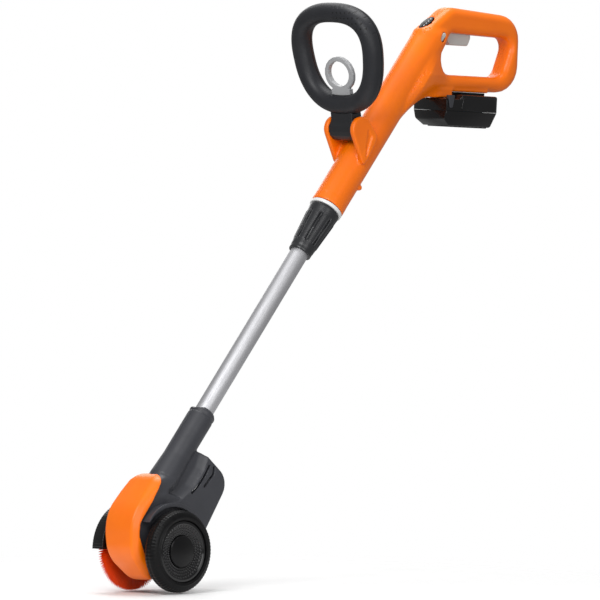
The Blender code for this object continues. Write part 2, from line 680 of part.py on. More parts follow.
def handle_passages(shaft, grip):
    """Return the cutters for trigger, lock-off, indicator, contacts and screws."""
    trigger_slot = prism("trigger_slot", box(51.4 * MM, 99.5 * MM, 20 * MM, 46 * MM),
                         -TRIGGER_HALF_WIDTH - 2 * CLEARANCE, TRIGGER_HALF_WIDTH + 2 * CLEARANCE, grip, None)
    lock_slot = prism("lock_off_slot", lock_off_outline(CLEARANCE), -30 * MM, 30 * MM, shaft, None)
    lens_slot = indicator(grip, "indicator_slot", None, CLEARANCE, -6 * MM, 6 * MM)
    contact_slot = prism("contact_slot", box(48 * MM - CLEARANCE, 64 * MM, -47 * MM, -34 * MM),
                         -CHANNEL_NECK_HALF + MM, CHANNEL_NECK_HALF - MM, grip, None)
    holes = [screw_hole(f"handle_screw_hole_{i + 1}", grip, a * MM, b * MM,
                        GRIP_HALF_WIDTH - 3 * MM, GRIP_HALF_WIDTH) for i, (a, b) in enumerate(HANDLE_SCREWS)]
    pin = TRIGGER_PIN_RADIUS + CLEARANCE
    reach = TRIGGER_PIN_HALF + CLEARANCE
    pin_hole = turned("trigger_pin_hole", [(0, -reach), (pin, -reach), (pin, reach), (0, reach)], grip, None,
                      SMALL_SEGMENTS, "+Y", (TRIGGER_PIVOT[0], 0, TRIGGER_PIVOT[1]))
    return [trigger_slot, pin_hole, lock_slot, lens_slot, contact_slot, *holes]


def lock_off_outline(margin):
    """Return the lock-off button's oblong outline on the shaft."""
    half = LOCK_OFF_LENGTH / 2 - LOCK_OFF_RADIUS
    radius = LOCK_OFF_RADIUS + margin
    return around([(LOCK_OFF_OFFSET, LOCK_OFF_STATION - half, radius),
                   (LOCK_OFF_OFFSET, LOCK_OFF_STATION + half, radius)], SMALL_SEGMENTS)


def indicator(grip, name, look, margin, low, high):
    """Return the oval charge indicator, or its cutter, on the slope above the thumb."""
    (a0, b0, _), (a1, b1, _) = GRIP_OUTLINE[1], GRIP_OUTLINE[2]
    along = Vector((a1 - a0, b1 - b0)).normalized()
    seat = Vector((a0, b0)) * MM + along * INDICATOR_PLACE
    slope = frame_at(name + "_frame", grip, (seat.x, 0, seat.y), -math.atan2(along.y, along.x))
    outline = ellipse(0, 0, INDICATOR_LENGTH + 2 * margin, INDICATOR_WIDTH + 2 * margin, ROUND_SEGMENTS)
    return prism(name, outline, low, high, slope, look, "Z")


def controls(shaft, grip):
    """Make the trigger with its pin, spring and switch, the lock-off, the indicator and the boards."""
    pivot_x, pivot_z = TRIGGER_PIVOT
    trigger_frame = frame_at("trigger_frame", grip, (pivot_x, 0, pivot_z))
    moved = [(a * MM - pivot_x, b * MM - pivot_z, f * MM) for a, b, f in TRIGGER_OUTLINE]
    trigger = prism("trigger", rounded(moved, math.radians(30)), -TRIGGER_HALF_WIDTH, TRIGGER_HALF_WIDTH,
                    trigger_frame, "grey_abs", bevel=1.2 * MM, bevel_segments=1)
    bore = TRIGGER_PIN_RADIUS + CLEARANCE
    cut(trigger, turned("trigger_bore", [(0, -10 * MM), (bore, -10 * MM), (bore, 10 * MM), (0, 10 * MM)],
                        trigger_frame, None, SMALL_SEGMENTS, "+Y"))
    pin_half = TRIGGER_PIN_HALF
    turned("trigger_pin", [(0, -pin_half), (TRIGGER_PIN_RADIUS, -pin_half), (TRIGGER_PIN_RADIUS, pin_half),
                           (0, pin_half)], grip, "steel", SMALL_SEGMENTS, "+Y", (pivot_x, 0, pivot_z))
    switch_x, switch_z = SWITCH_LOW
    prism("switch_body", box(switch_x, switch_x + SWITCH_SIZE[0], switch_z, switch_z + SWITCH_SIZE[1]),
          -SWITCH_HALF_WIDTH, SWITCH_HALF_WIDTH, grip, "black_abs")
    coil("trigger_spring", grip, 2.6 * MM, 49 * MM + CLEARANCE, switch_z - CLEARANCE, 2, 0.4 * MM,
         (TRIGGER_SPRING_X, 0, 0))
    prism("lock_off_button", lock_off_outline(0), -GRIP_HALF_WIDTH - LOCK_OFF_PROUD,
          GRIP_HALF_WIDTH - 0.5 * MM, shaft, "grey_abs", bevel=0.8 * MM)
    indicator(grip, "indicator_lens", "black_abs", 0, -2 * MM, 0.8 * MM)
    prism("control_board", box(102 * MM, 146 * MM, -23.5 * MM, -21.9 * MM), -BOARD_HALF_WIDTH,
          BOARD_HALF_WIDTH, grip, "circuit_board")
    terminal_block(grip)


def terminal_block(grip):
    """Make the contact block in the foot, with three blades that reach into the pack."""
    half = CHANNEL_NECK_HALF - MM - CLEARANCE
    foot = -44.5 * MM
    block = prism("terminal_block", box(48 * MM, 60 * MM, foot, -34 * MM - CLEARANCE), -half, half, grip,
                  "black_abs")
    for i in (-1, 0, 1):
        middle = i * CONTACT_PITCH
        blade = prism(f"contact_{i + 2}_form", box(58 * MM, 74 * MM, foot + 0.5 * MM, foot + 3.5 * MM),
                      middle - CONTACT_THICKNESS / 2, middle + CONTACT_THICKNESS / 2, grip, None)
        fuse(block, blade)


def battery(grip):
    """Make the slide-on pack: rail on the handle, two case halves, cells and squeeze latches."""
    rail_foot = -36 * MM - CLEARANCE
    neck = CHANNEL_NECK_HALF - CLEARANCE
    wide = CHANNEL_HALF - CLEARANCE
    lip_floor = PACK_TOP - CHANNEL_LIP - CLEARANCE
    rail_bottom = PACK_TOP - CHANNEL_DEPTH + CLEARANCE
    rail = [(-neck, rail_foot), (-neck, lip_floor), (-wide, lip_floor), (-wide, rail_bottom),
            (wide, rail_bottom), (wide, lip_floor), (neck, lip_floor), (neck, rail_foot)]
    prism("battery_rail", rail, RAIL_START, CHANNEL_END - CLEARANCE, grip, "black_abs", "X")
    form = prism("pack_form", pack_outline(0), -PACK_HALF_WIDTH, PACK_HALF_WIDTH, grip, None, bevel=2.5 * MM)
    hollow = prism("pack_hollow", pack_outline(PACK_WALL), PACK_WALL - PACK_HALF_WIDTH,
                   PACK_HALF_WIDTH - PACK_WALL, grip, None)
    cut(form, hollow, pack_channel(grip), *[latch_plate(grip, side, True) for side in (-1, 1)])
    ends = (PACK_FRONT - 10 * MM, PACK_FRONT + PACK_LENGTH + 10 * MM)
    for name, low, high in (("battery_case_lower", PACK_BOTTOM - 10 * MM, PACK_SEAM - SPLIT_GAP),
                            ("battery_case_upper", PACK_SEAM + SPLIT_GAP, PACK_TOP + 10 * MM)):
        case = prism(name, box(*ends, low, high), -PACK_HALF_WIDTH - 10 * MM, PACK_HALF_WIDTH + 10 * MM,
                     grip, "black_abs")
        keep(case, form)
    battery_cells(grip)
    for side in (-1, 1):
        latch_plate(grip, side, False)


def pack_outline(wall):
    """Return the pack's side outline, or that of the space inside its wall."""
    front = PACK_FRONT + wall
    back = PACK_FRONT + PACK_LENGTH - wall
    bottom = PACK_BOTTOM + wall
    long, tall = PACK_CHAMFER
    if wall:
        roof = PACK_TOP - CHANNEL_DEPTH - 1.7 * MM
        return [(front, roof), (front, bottom + tall), (front + long, bottom), (back, bottom), (back, roof)]
    step = PACK_TOP - PACK_STEP_DROP
    return [(front, step), (front, bottom + tall), (front + long, bottom), (back, bottom), (back, PACK_TOP),
            (PACK_STEP, PACK_TOP), (PACK_STEP, step)]


def pack_channel(grip):
    """Return the cutter for the T-shaped channel that slides along the rail."""
    lip = PACK_TOP - CHANNEL_LIP
    floor = PACK_TOP - CHANNEL_DEPTH
    outline = [(-CHANNEL_NECK_HALF, PACK_TOP + MM), (-CHANNEL_NECK_HALF, lip), (-CHANNEL_HALF, lip),
               (-CHANNEL_HALF, floor), (CHANNEL_HALF, floor), (CHANNEL_HALF, lip), (CHANNEL_NECK_HALF, lip),
               (CHANNEL_NECK_HALF, PACK_TOP + MM)]
    return prism("pack_channel", outline, PACK_STEP - MM, CHANNEL_END, grip, None, "X")


def battery_cells(grip):
    """Make three cells below and two above, lying along the pack."""
    pitch = 2 * CELL_RADIUS + CLEARANCE
    low = PACK_BOTTOM + PACK_WALL + CLEARANCE + CELL_RADIUS
    high = low + pitch * math.sqrt(3) / 2
    places = [(-pitch, low), (0, low), (pitch, low), (-pitch / 2, high), (pitch / 2, high)]
    for i, (y, z) in enumerate(places):
        outline = ellipse(y, z, 2 * CELL_RADIUS, 2 * CELL_RADIUS, ROUND_SEGMENTS)
        prism(f"battery_cell_{i + 1}", outline, CELL_FRONT, CELL_FRONT + CELL_LENGTH, grip, "cell_wrap", "X")


def latch_plate(grip, side, as_cutter):
    """Make one squeeze latch on the pack's side, or the cutter for its window."""
    margin = -CLEARANCE if as_cutter else 0.0
    outer = PACK_HALF_WIDTH + LATCH_PROUD + (MM if as_cutter else 0)
    inner = PACK_HALF_WIDTH - LATCH_DEPTH - (2 * MM if as_cutter else 0)
    low, high = sorted((side * inner, side * outer))
    word = "near" if side < 0 else "far"
    name = f"latch_window_{word}" if as_cutter else f"battery_latch_{word}"
    return prism(name, shape(LATCH_OUTLINE, margin), low, high, grip, None if as_cutter else "grey_abs")


def loop_ring(name, frame, look, margin, low_side):
    """Sweep one half of the bar's oval section round the loop: the front grip or the rear shell."""
    seam = LOOP_SEAM + (margin if low_side else CLEARANCE)
    depth = LOOP_BAR_DEPTH + margin
    thick = LOOP_BAR_HALF + margin
    edge = math.acos(seam / depth)
    span = (edge, 2 * math.pi - edge, 8) if low_side else (-edge, edge, 6)
    angles = [span[0] + (span[1] - span[0]) * i / (span[2] - 1) for i in range(span[2])]
    section = [(depth * math.cos(t), thick * math.sin(t)) for t in angles]
    bm = bmesh.new()
    rings = []
    for k in range(LOOP_STEPS):
        centre, outward = loop_point(2 * math.pi * (k + 0.5) / LOOP_STEPS)
        rings.append([bm.verts.new((x, centre[0] + outward[0] * n, centre[1] + outward[1] * n))
                      for x, n in section])
    for k, ring in enumerate(rings):
        following = rings[(k + 1) % LOOP_STEPS]
        for i in range(len(ring)):
            j = (i + 1) % len(ring)
            bm.faces.new((ring[i], ring[j], following[j], following[i]))
    return add_solid(name, bm, frame, look)


def loop_point(t):
    """Return a centre-line point (y, z) of the loop and its outward direction."""
    def at(angle):
        """Return the rounded, tapered oval's point at an angle."""
        power = 2 / LOOP_SQUARENESS
        c, s = math.cos(angle), math.sin(angle)
        across = math.copysign(abs(c) ** power, c)
        upward = math.copysign(abs(s) ** power, s)
        width = LOOP_HALF_WIDTH * (1 + LOOP_TAPER * upward) / (1 + LOOP_TAPER / 2)
        return Vector((width * across, LOOP_CENTRE + LOOP_HALF_HEIGHT * upward))
    step = 0.01
    tangent = (at(t + step) - at(t - step)).normalized()
    return tuple(at(t)), (tangent.y, -tangent.x)


def loop_handle(shaft, loop):
    """Make the loop handle: front grip, rear shell with its tongue, and the pivot pin."""
    front = loop_ring("loop_front_grip", loop, "soft_grip", 0, True)
    rear = loop_ring("loop_rear_shell", loop, "dark_abs", 0, False)
    front_space = loop_ring("front_grip_space", loop, None, CLEARANCE, True)
    tongue_half = TONGUE_HALF_WIDTH - MM
    tongue = prism("tongue_form", around([(0, 0, 11 * MM), (0, 30 * MM, 9 * MM)]), -tongue_half, tongue_half,
                   loop, None, bevel=1.5 * MM)
    bore = PIVOT_PIN_RADIUS + CLEARANCE
    hub_profile = [(0, -TONGUE_HALF_WIDTH), (TONGUE_RADIUS, -TONGUE_HALF_WIDTH),
                   (TONGUE_RADIUS, TONGUE_HALF_WIDTH), (0, TONGUE_HALF_WIDTH)]
    hub = turned("tongue_hub_form", hub_profile, loop, None, ROUND_SEGMENTS, "+Y")
    clear_bore = turned("tongue_bore", [(0, -30 * MM), (bore, -30 * MM), (bore, 30 * MM), (0, 30 * MM)],
                        loop, None, ROUND_SEGMENTS, "+Y")
    fuse(tongue, hub)
    fuse(rear, tongue)
    stem_space, spring_space = release_spaces(loop)
    cut(rear, front_space, clear_bore, stem_space, spring_space)
    cut(front, stem_space, spring_space)
    seat = TONGUE_HALF_WIDTH + PIVOT_PIN_SEAT
    turned("pivot_pin", [(0, -seat), (PIVOT_PIN_RADIUS, -seat), (PIVOT_PIN_RADIUS, seat), (0, seat)],
           shaft, "steel", ROUND_SEGMENTS, "+Y", (-PIVOT_OFFSET, 0, PIVOT_STATION))


def release_spaces(loop):
    """Return the cutters for the release ring's stem and for its plunger and spring."""
    gap = 2 * CLEARANCE
    middle = RING_SHIFT
    stem_space = prism("stem_space", box(middle - STEM_THICKNESS / 2 - gap, middle + STEM_THICKNESS / 2 + gap,
                                         STEM_LOW - 4 * MM, 50 * MM), -STEM_HALF_WIDTH - gap,
                       STEM_HALF_WIDTH + gap, loop, None)
    radius = PLUNGER_FOOT_RADIUS + CLEARANCE
    spring_space = turned("plunger_space", [(0, PLUNGER_LOW - CLEARANCE), (radius, PLUNGER_LOW - CLEARANCE),
                                            (radius, STEM_LOW - 2 * MM), (0, STEM_LOW - 2 * MM)],
                          loop, None, SMALL_SEGMENTS, "Z", (middle, 0, 0))
    return stem_space, spring_space


def release_ring(loop):
    """Make the pull ring whose plunger locks the loop, and the plunger's spring."""
    half = RING_THICKNESS / 2
    base_low = LOOP_CENTRE - LOOP_HALF_HEIGHT + LOOP_BAR_HALF + CLEARANCE
    ring_outline = ellipse(0, RING_CENTRE, *RING_SIZE, LARGE_SEGMENTS)
    foot = box(-RING_BASE_HALF, RING_BASE_HALF, base_low, base_low + 8 * MM)
    ring = prism("release_ring", ring_outline, RING_SHIFT - half, RING_SHIFT + half, loop, "grey_abs", "X",
                 bevel=1.6 * MM, bevel_segments=1)
    base = prism("ring_base_form", foot, RING_SHIFT - half, RING_SHIFT + half, loop, None, "X")
    cut(base, loop_ring("ring_seat", loop, None, CLEARANCE, True))
    stem = prism("ring_stem_form", box(RING_SHIFT - STEM_THICKNESS / 2, RING_SHIFT + STEM_THICKNESS / 2,
                                       STEM_LOW, base_low + 2 * MM), -STEM_HALF_WIDTH, STEM_HALF_WIDTH, loop, None)
    foot_top = PLUNGER_LOW + PLUNGER_FOOT
    plunger = turned("plunger_form", [(0, PLUNGER_LOW), (PLUNGER_FOOT_RADIUS, PLUNGER_LOW),
                                      (PLUNGER_FOOT_RADIUS, foot_top), (PLUNGER_RADIUS, foot_top),
                                      (PLUNGER_RADIUS, STEM_LOW + MM), (0, STEM_LOW + MM)],
                     loop, None, SMALL_SEGMENTS, "Z", (RING_SHIFT, 0, 0))
    fuse(ring, base, stem, plunger)
    cut(ring, prism("ring_hole", ellipse(0, RING_CENTRE + MM, *RING_HOLE, LARGE_SEGMENTS), RING_SHIFT - 2 * half,
                    RING_SHIFT + 2 * half, loop, None, "X"))
    coil("release_spring", loop, 3.5 * MM, foot_top + CLEARANCE, STEM_LOW - 2 * MM - CLEARANCE, 3,
         SPRING_WIRE, (RING_SHIFT, 0, 0))


def head_housing(axle, shaft):
    """Make the dark head clamshell: drum, neck, motor pod and wheel arch."""
    form = prism("head_form", drum_outline(0), HEAD_NEAR, HEAD_FAR, axle, None, bevel=3 * MM)
    neck = turned("neck_form", neck_profile(0), shaft, None, LARGE_SEGMENTS)
    pod = prism("pod_form", shape(POD_OUTLINE), -POD_HALF_WIDTH, POD_HALF_WIDTH, shaft, None,
                bevel=6 * MM, bevel_segments=2)
    arch = turned("arch_form", [(ARCH_INNER, 0), (ARCH_OUTER, 0), (ARCH_OUTER, ARCH_REACH + MM),
                                (ARCH_INNER, ARCH_REACH + MM)], axle, None, SMALL_SEGMENTS, "-Y",
                  (0, HEAD_NEAR + MM, 0), ARCH_ANGLES)
    fuse(form, neck, pod, arch)
    cutters = [head_hollow(axle, shaft), *head_bores(axle, shaft)]
    cutters += [screw_hole(f"head_screw_hole_{i + 1}", shaft, a * MM, b * MM, POD_HALF_WIDTH - 3 * MM,
                           POD_HALF_WIDTH) for i, (a, b) in enumerate(HEAD_SCREWS)]
    halves(("head_shell_near", "head_shell_far"), form, cutters, axle, "dark_abs", HALF_REACH)
    for i, (a, b) in enumerate(HEAD_SCREWS):
        screw(f"head_screw_{i + 1}", shaft, a * MM, b * MM, POD_HALF_WIDTH - 3 * MM, "+Y")


def drum_outline(wall):
    """Return the head drum's round side outline, or that of the space inside its wall."""
    size = 2 * (DRUM_RADIUS - wall)
    return ellipse(0, DRUM_CENTRE, size, size, WHEEL_SEGMENTS)


def neck_profile(margin):
    """Return the neck's turned profile, grown by a margin for whatever fits round it."""
    rim = NECK_TOP + margin
    return [(0, 26 * MM - margin), (12 * MM + margin, 26 * MM - margin), (NECK_FLARE_RADIUS + margin, 58 * MM),
            (NECK_FLARE_RADIUS + margin, 82 * MM), (NECK_RADIUS + margin, 116 * MM),
            (NECK_RADIUS + margin, rim - 4 * MM), (NECK_RADIUS - 2.5 * MM + margin, rim), (0, rim)]


def head_hollow(axle, shaft):
    """Return the drum's inner space, less the blocks that hold gears and motor."""
    hollow = prism("drum_hollow", drum_outline(DRUM_WALL), HEAD_NEAR + DRUM_WALL, HEAD_FAR - DRUM_WALL,
                   axle, None)
    block = turned("gear_block", [(0, -50 * MM), (GEAR_BLOCK_RADIUS, -50 * MM), (GEAR_BLOCK_RADIUS, 50 * MM),
                                  (0, 50 * MM)], axle, None, LARGE_SEGMENTS, "+Y")
    sleeve_radius = MOTOR_RADIUS + 3.2 * MM
    sleeve = turned("motor_sleeve", [(0, 0), (sleeve_radius, 0), (sleeve_radius, 120 * MM), (0, 120 * MM)],
                    shaft, None, ROUND_SEGMENTS, "Z", (POD_SHIFT, 0, 0))
    cut(hollow, block, sleeve)
    return hollow


def head_bores(axle, shaft):
    """Return the cutters for tube socket, cable way, motor, gears, bearings and axle."""
    way = 8 * MM
    socket = turned("tube_socket", [(0, 70 * MM), (way, 70 * MM), (way, TUBE_LOW - CLEARANCE),
                                    (TUBE_BORE, TUBE_LOW - CLEARANCE), (TUBE_BORE, NECK_TOP + 5 * MM),
                                    (0, NECK_TOP + 5 * MM)], shaft, None, LARGE_SEGMENTS)
    bore = MOTOR_RADIUS + CLEARANCE
    boss = MOTOR_BOSS_RADIUS + CLEARANCE
    low = MOTOR_LOW - CLEARANCE
    high = MOTOR_LOW + MOTOR_LENGTH + CLEARANCE
    motor = turned("motor_space", [(0, 8 * MM), (9 * MM, 8 * MM), (9 * MM, 50 * MM), (boss, 52 * MM),
                                   (boss, low), (bore, low), (bore, high), (boss, high),
                                   (boss, high + MOTOR_BOSS), (0, high + MOTOR_BOSS)],
                   shaft, None, ROUND_SEGMENTS, "Z", (POD_SHIFT, 0, 0))
    start, end = GEAR_CHAMBER
    race = BEARING_RADIUS + CLEARANCE
    deep = BEARING_WIDTH + CLEARANCE
    gears = turned("gear_space", [(0, start - deep), (race, start - deep), (race, start),
                                  (GEAR_CHAMBER_RADIUS, start), (GEAR_CHAMBER_RADIUS, end), (race, end),
                                  (race, end + deep), (7 * MM, end + deep), (7 * MM, HEAD_FAR + 5 * MM),
                                  (0, HEAD_FAR + 5 * MM)], axle, None, LARGE_SEGMENTS, "+Y")
    pin = AXLE_RADIUS + CLEARANCE
    axle_low = -HEAD_NEAR - 8 * MM
    axle_hole = turned("axle_hole", [(0, axle_low), (pin, axle_low), (pin, 40 * MM), (0, 40 * MM)],
                       axle, None, ROUND_SEGMENTS, "-Y")
    return [socket, motor, gears, axle_hole]


def front_cover(axle, shaft):
    """Make the orange hood over the front of the drum, wrapping both its sides."""
    near = HEAD_NEAR - CLEARANCE - COVER_SIDE
    far = HEAD_FAR + CLEARANCE + COVER_SIDE
    cover = prism("front_cover", shape(COVER_OUTLINE), near, far, axle, "orange_abs", bevel=COVER_EDGE)
    taper = [(y * MM, z * MM) for y, z in COVER_TAPER]
    keep(cover, prism("cover_taper", taper, -100 * MM, 50 * MM, axle, None, "X"))
    room = prism("cover_room", drum_outline(-CLEARANCE), HEAD_NEAR - CLEARANCE, HEAD_FAR + CLEARANCE, axle, None)
    cut(cover, room, turned("cover_neck_room", neck_profile(CLEARANCE), shaft, None, LARGE_SEGMENTS))


def brush_guard(axle):
    """Make the black half-round guard over the brush, with its web and boss against the head."""
    start = HEAD_FAR + CLEARANCE
    web = BRUSH_START - 3 * MM
    profile = [(GUARD_HOLE_RADIUS, start), (GUARD_BOSS_RADIUS, start), (GUARD_BOSS_RADIUS, web),
               (GUARD_OUTER, web), (GUARD_OUTER, GUARD_REACH), (GUARD_INNER, GUARD_REACH),
               (GUARD_INNER, web + GUARD_WEB), (GUARD_HOLE_RADIUS, web + GUARD_WEB)]
    guard = turned("brush_guard", profile, axle, "black_abs", LARGE_SEGMENTS, "+Y", (0, 0, 0),
                   (-GUARD_ANGLES[1], -GUARD_ANGLES[0]))
    return guard


def motor(shaft):
    """Make the motor can and the rotor inside it."""
    low = MOTOR_LOW
    high = MOTOR_LOW + MOTOR_LENGTH
    bush = ROTOR_RADIUS + RUNNING_GAP
    inner = MOTOR_RADIUS - MOTOR_WALL
    can = [(0, high + MOTOR_BOSS), (MOTOR_BOSS_RADIUS, high + MOTOR_BOSS), (MOTOR_BOSS_RADIUS, high),
           (MOTOR_RADIUS, high), (MOTOR_RADIUS, low), (MOTOR_BOSS_RADIUS, low),
           (MOTOR_BOSS_RADIUS, low - MOTOR_BOSS), (bush, low - MOTOR_BOSS), (bush, low + MOTOR_WALL),
           (inner, low + MOTOR_WALL), (inner, high - MOTOR_WALL), (bush, high - MOTOR_WALL), (bush, high),
           (0, high)]
    turned("motor_can", can, shaft, "steel", ROUND_SEGMENTS, "Z", (POD_SHIFT, 0, 0))
    body_low = low + MOTOR_WALL + 10 * MM
    body_high = high - MOTOR_WALL - 14 * MM
    rotor = [(0, 11 * MM), (ROTOR_RADIUS, 11 * MM), (ROTOR_RADIUS, body_low),
             (ARMATURE_RADIUS - 3 * MM, body_low), (ARMATURE_RADIUS, body_low + 3 * MM),
             (ARMATURE_RADIUS, body_high - 3 * MM), (ARMATURE_RADIUS - 3 * MM, body_high),
             (5 * MM, body_high), (5 * MM, body_high + 8 * MM), (ROTOR_RADIUS, body_high + 8 * MM),
             (ROTOR_RADIUS, high - MM), (0, high - MM)]
    turned("motor_rotor", rotor, shaft, "steel", ROUND_SEGMENTS, "Z", (POD_SHIFT, 0, 0))


def bevel_gear(name, frame, teeth, cone, back, bore, phase, along, place=(0, 0, 0)):
    """Make a straight bevel gear with its cone's tip at the frame's own point."""
    outer = GEAR_CONE
    inner = GEAR_CONE - GEAR_FACE
    root_half = math.pi / teeth * 0.36
    tip_half = math.pi / teeth * 0.2
    bm = bmesh.new()

    def ring(distance):
        """Return the toothed ring of points at one cone distance."""
        scale = distance / outer
        points = []
        for k in range(teeth):
            middle = phase + 2 * math.pi * k / teeth
            for shift, height in ((-root_half, -GEAR_DEDENDUM), (-tip_half, GEAR_ADDENDUM),
                                  (tip_half, GEAR_ADDENDUM), (root_half, -GEAR_DEDENDUM)):
                r = distance * math.sin(cone) + height * scale * math.cos(cone)
                h = distance * math.cos(cone) - height * scale * math.sin(cone)
                points.append(bm.verts.new((r * math.cos(middle + shift), r * math.sin(middle + shift), h)))
        return points

    def circle(radius, height, like):
        """Return a round ring with its points at the same angles as a toothed one."""
        angles = [math.atan2(v.co.y, v.co.x) for v in like]
        return [bm.verts.new((radius * math.cos(t), radius * math.sin(t), height)) for t in angles]

    front = ring(inner)
    behind = ring(outer)
    loops = [front, behind, circle(bore, back, behind), circle(bore, inner * math.cos(cone) + MM, behind)]
    for a, b in zip(loops, loops[1:] + loops[:1]):
        for i in range(len(a)):
            j = (i + 1) % len(a)
            bm.faces.new((a[i], a[j], b[j], b[i]))
    bmesh.ops.triangulate(bm, faces=bm.faces)
    solid = add_solid(name, bm, frame, "steel")
    solid.location = place
    solid.rotation_euler = ({"Z": 0.0, "+Y": -math.pi / 2}[along], 0, 0)
    return solid


def gears(shaft):
    """Make the bevel pinion on the rotor and the bevel gear on the spindle, in mesh."""
    place = (POD_SHIFT, 0, 0)
    bevel_gear("bevel_pinion", shaft, PINION_TEETH, PINION_ANGLE, 26 * MM, ROTOR_RADIUS + CLEARANCE,
               math.pi / 2, "Z", place)
    half_tooth = math.pi / GEAR_TEETH
    bevel_gear("bevel_gear", shaft, GEAR_TEETH, GEAR_ANGLE, 12 * MM, SPINDLE_RADIUS + CLEARANCE,
               -math.pi / 2 + half_tooth, "+Y", place)


def spindle(axle):
    """Make the brush spindle, its two bearings, flange, washer and nut."""
    tip = SPINDLE_HIGH
    turned("brush_spindle", [(0, SPINDLE_LOW), (SPINDLE_RADIUS, SPINDLE_LOW), (SPINDLE_RADIUS, tip - MM),
                             (SPINDLE_RADIUS - MM, tip), (0, tip)], axle, "steel", ROUND_SEGMENTS, "+Y")
    start, end = GEAR_CHAMBER
    for name, low in (("spindle_bearing_near", start - BEARING_WIDTH), ("spindle_bearing_far", end)):
        race = SPINDLE_RADIUS + CLEARANCE
        turned(name, [(race, low), (BEARING_RADIUS, low), (BEARING_RADIUS, low + BEARING_WIDTH),
                      (race, low + BEARING_WIDTH)], axle, "steel", ROUND_SEGMENTS, "+Y")
    hole = SPINDLE_RADIUS + CLEARANCE
    inner_start = BRUSH_START - CLEARANCE - FLANGE_WIDTH
    outer_start = BRUSH_START + BRUSH_WIDTH + CLEARANCE
    turned("brush_flange", [(hole, inner_start - 3 * MM), (hole + 2.5 * MM, inner_start - 3 * MM),
                            (hole + 2.5 * MM, inner_start), (FLANGE_RADIUS, inner_start),
                            (FLANGE_RADIUS, inner_start + FLANGE_WIDTH), (hole, inner_start + FLANGE_WIDTH)],
           axle, "steel", ROUND_SEGMENTS, "+Y")
    turned("brush_washer", [(hole, outer_start), (FLANGE_RADIUS, outer_start),
                            (FLANGE_RADIUS, outer_start + FLANGE_WIDTH / 2), (hole, outer_start + FLANGE_WIDTH / 2)],
           axle, "steel", ROUND_SEGMENTS, "+Y")
    nut_low = outer_start + FLANGE_WIDTH / 2 + CLEARANCE
    nut = prism("brush_nut", ellipse(0, 0, 2 * NUT_RADIUS, 2 * NUT_RADIUS, 6), nut_low, nut_low + NUT_WIDTH,
                axle, "steel")
    cut(nut, turned("nut_bore", [(0, nut_low - MM), (hole, nut_low - MM), (hole, nut_low + 2 * NUT_WIDTH),
                                 (0, nut_low + 2 * NUT_WIDTH)], axle, None, ROUND_SEGMENTS, "+Y"))


def brush(axle):
    """Make the brush: a hub whose rim is drawn out into tapered three-sided strands."""
    bm = bmesh.new()
    hole = SPINDLE_RADIUS + CLEARANCE
    low, high = BRUSH_START, BRUSH_START + BRUSH_WIDTH
    heights = [low + BRUSH_WIDTH * row / STRAND_ROWS for row in range(STRAND_ROWS + 1)]
    columns = []
    for k in range(STRAND_COLUMNS):
        t = 2 * math.pi * k / STRAND_COLUMNS
        column = [(hole, low)] + [(BRUSH_HUB_RADIUS, h) for h in heights] + [(hole, high)]
        columns.append([bm.verts.new((r * math.cos(t), r * math.sin(t), h)) for r, h in column])
    roots = []
    for k, column in enumerate(columns):
        following = columns[(k + 1) % STRAND_COLUMNS]
        for i in range(len(column)):
            j = (i + 1) % len(column)
            corners = (column[i], following[i], following[j], column[j])
            if not 1 <= i <= STRAND_ROWS:
                bm.faces.new(corners)
                continue
            split = (0, 1, 2, 3) if (k + i) % 2 else (1, 2, 3, 0)
            roots.append(bm.faces.new([corners[n] for n in (split[0], split[1], split[2])]))
            roots.append(bm.faces.new([corners[n] for n in (split[2], split[3], split[0])]))
    for i, strand in enumerate(bmesh.ops.extrude_discrete_faces(bm, faces=roots)["faces"]):
        middle = strand.calc_center_median()
        outward = Vector((middle.x, middle.y, 0)).normalized()
        reach = BRUSH_RADIUS - BRUSH_HUB_RADIUS - STRAND_STAGGER * (i % 3)
        for vert in strand.verts:
            vert.co = middle + (vert.co - middle) * STRAND_TIP + outward * reach
    solid = add_solid("brush", bm, axle, "bristle_nylon")
    solid.rotation_euler = (-math.pi / 2, 0, 0)
    print(f"brush: {len(roots)} strands")
    return solid


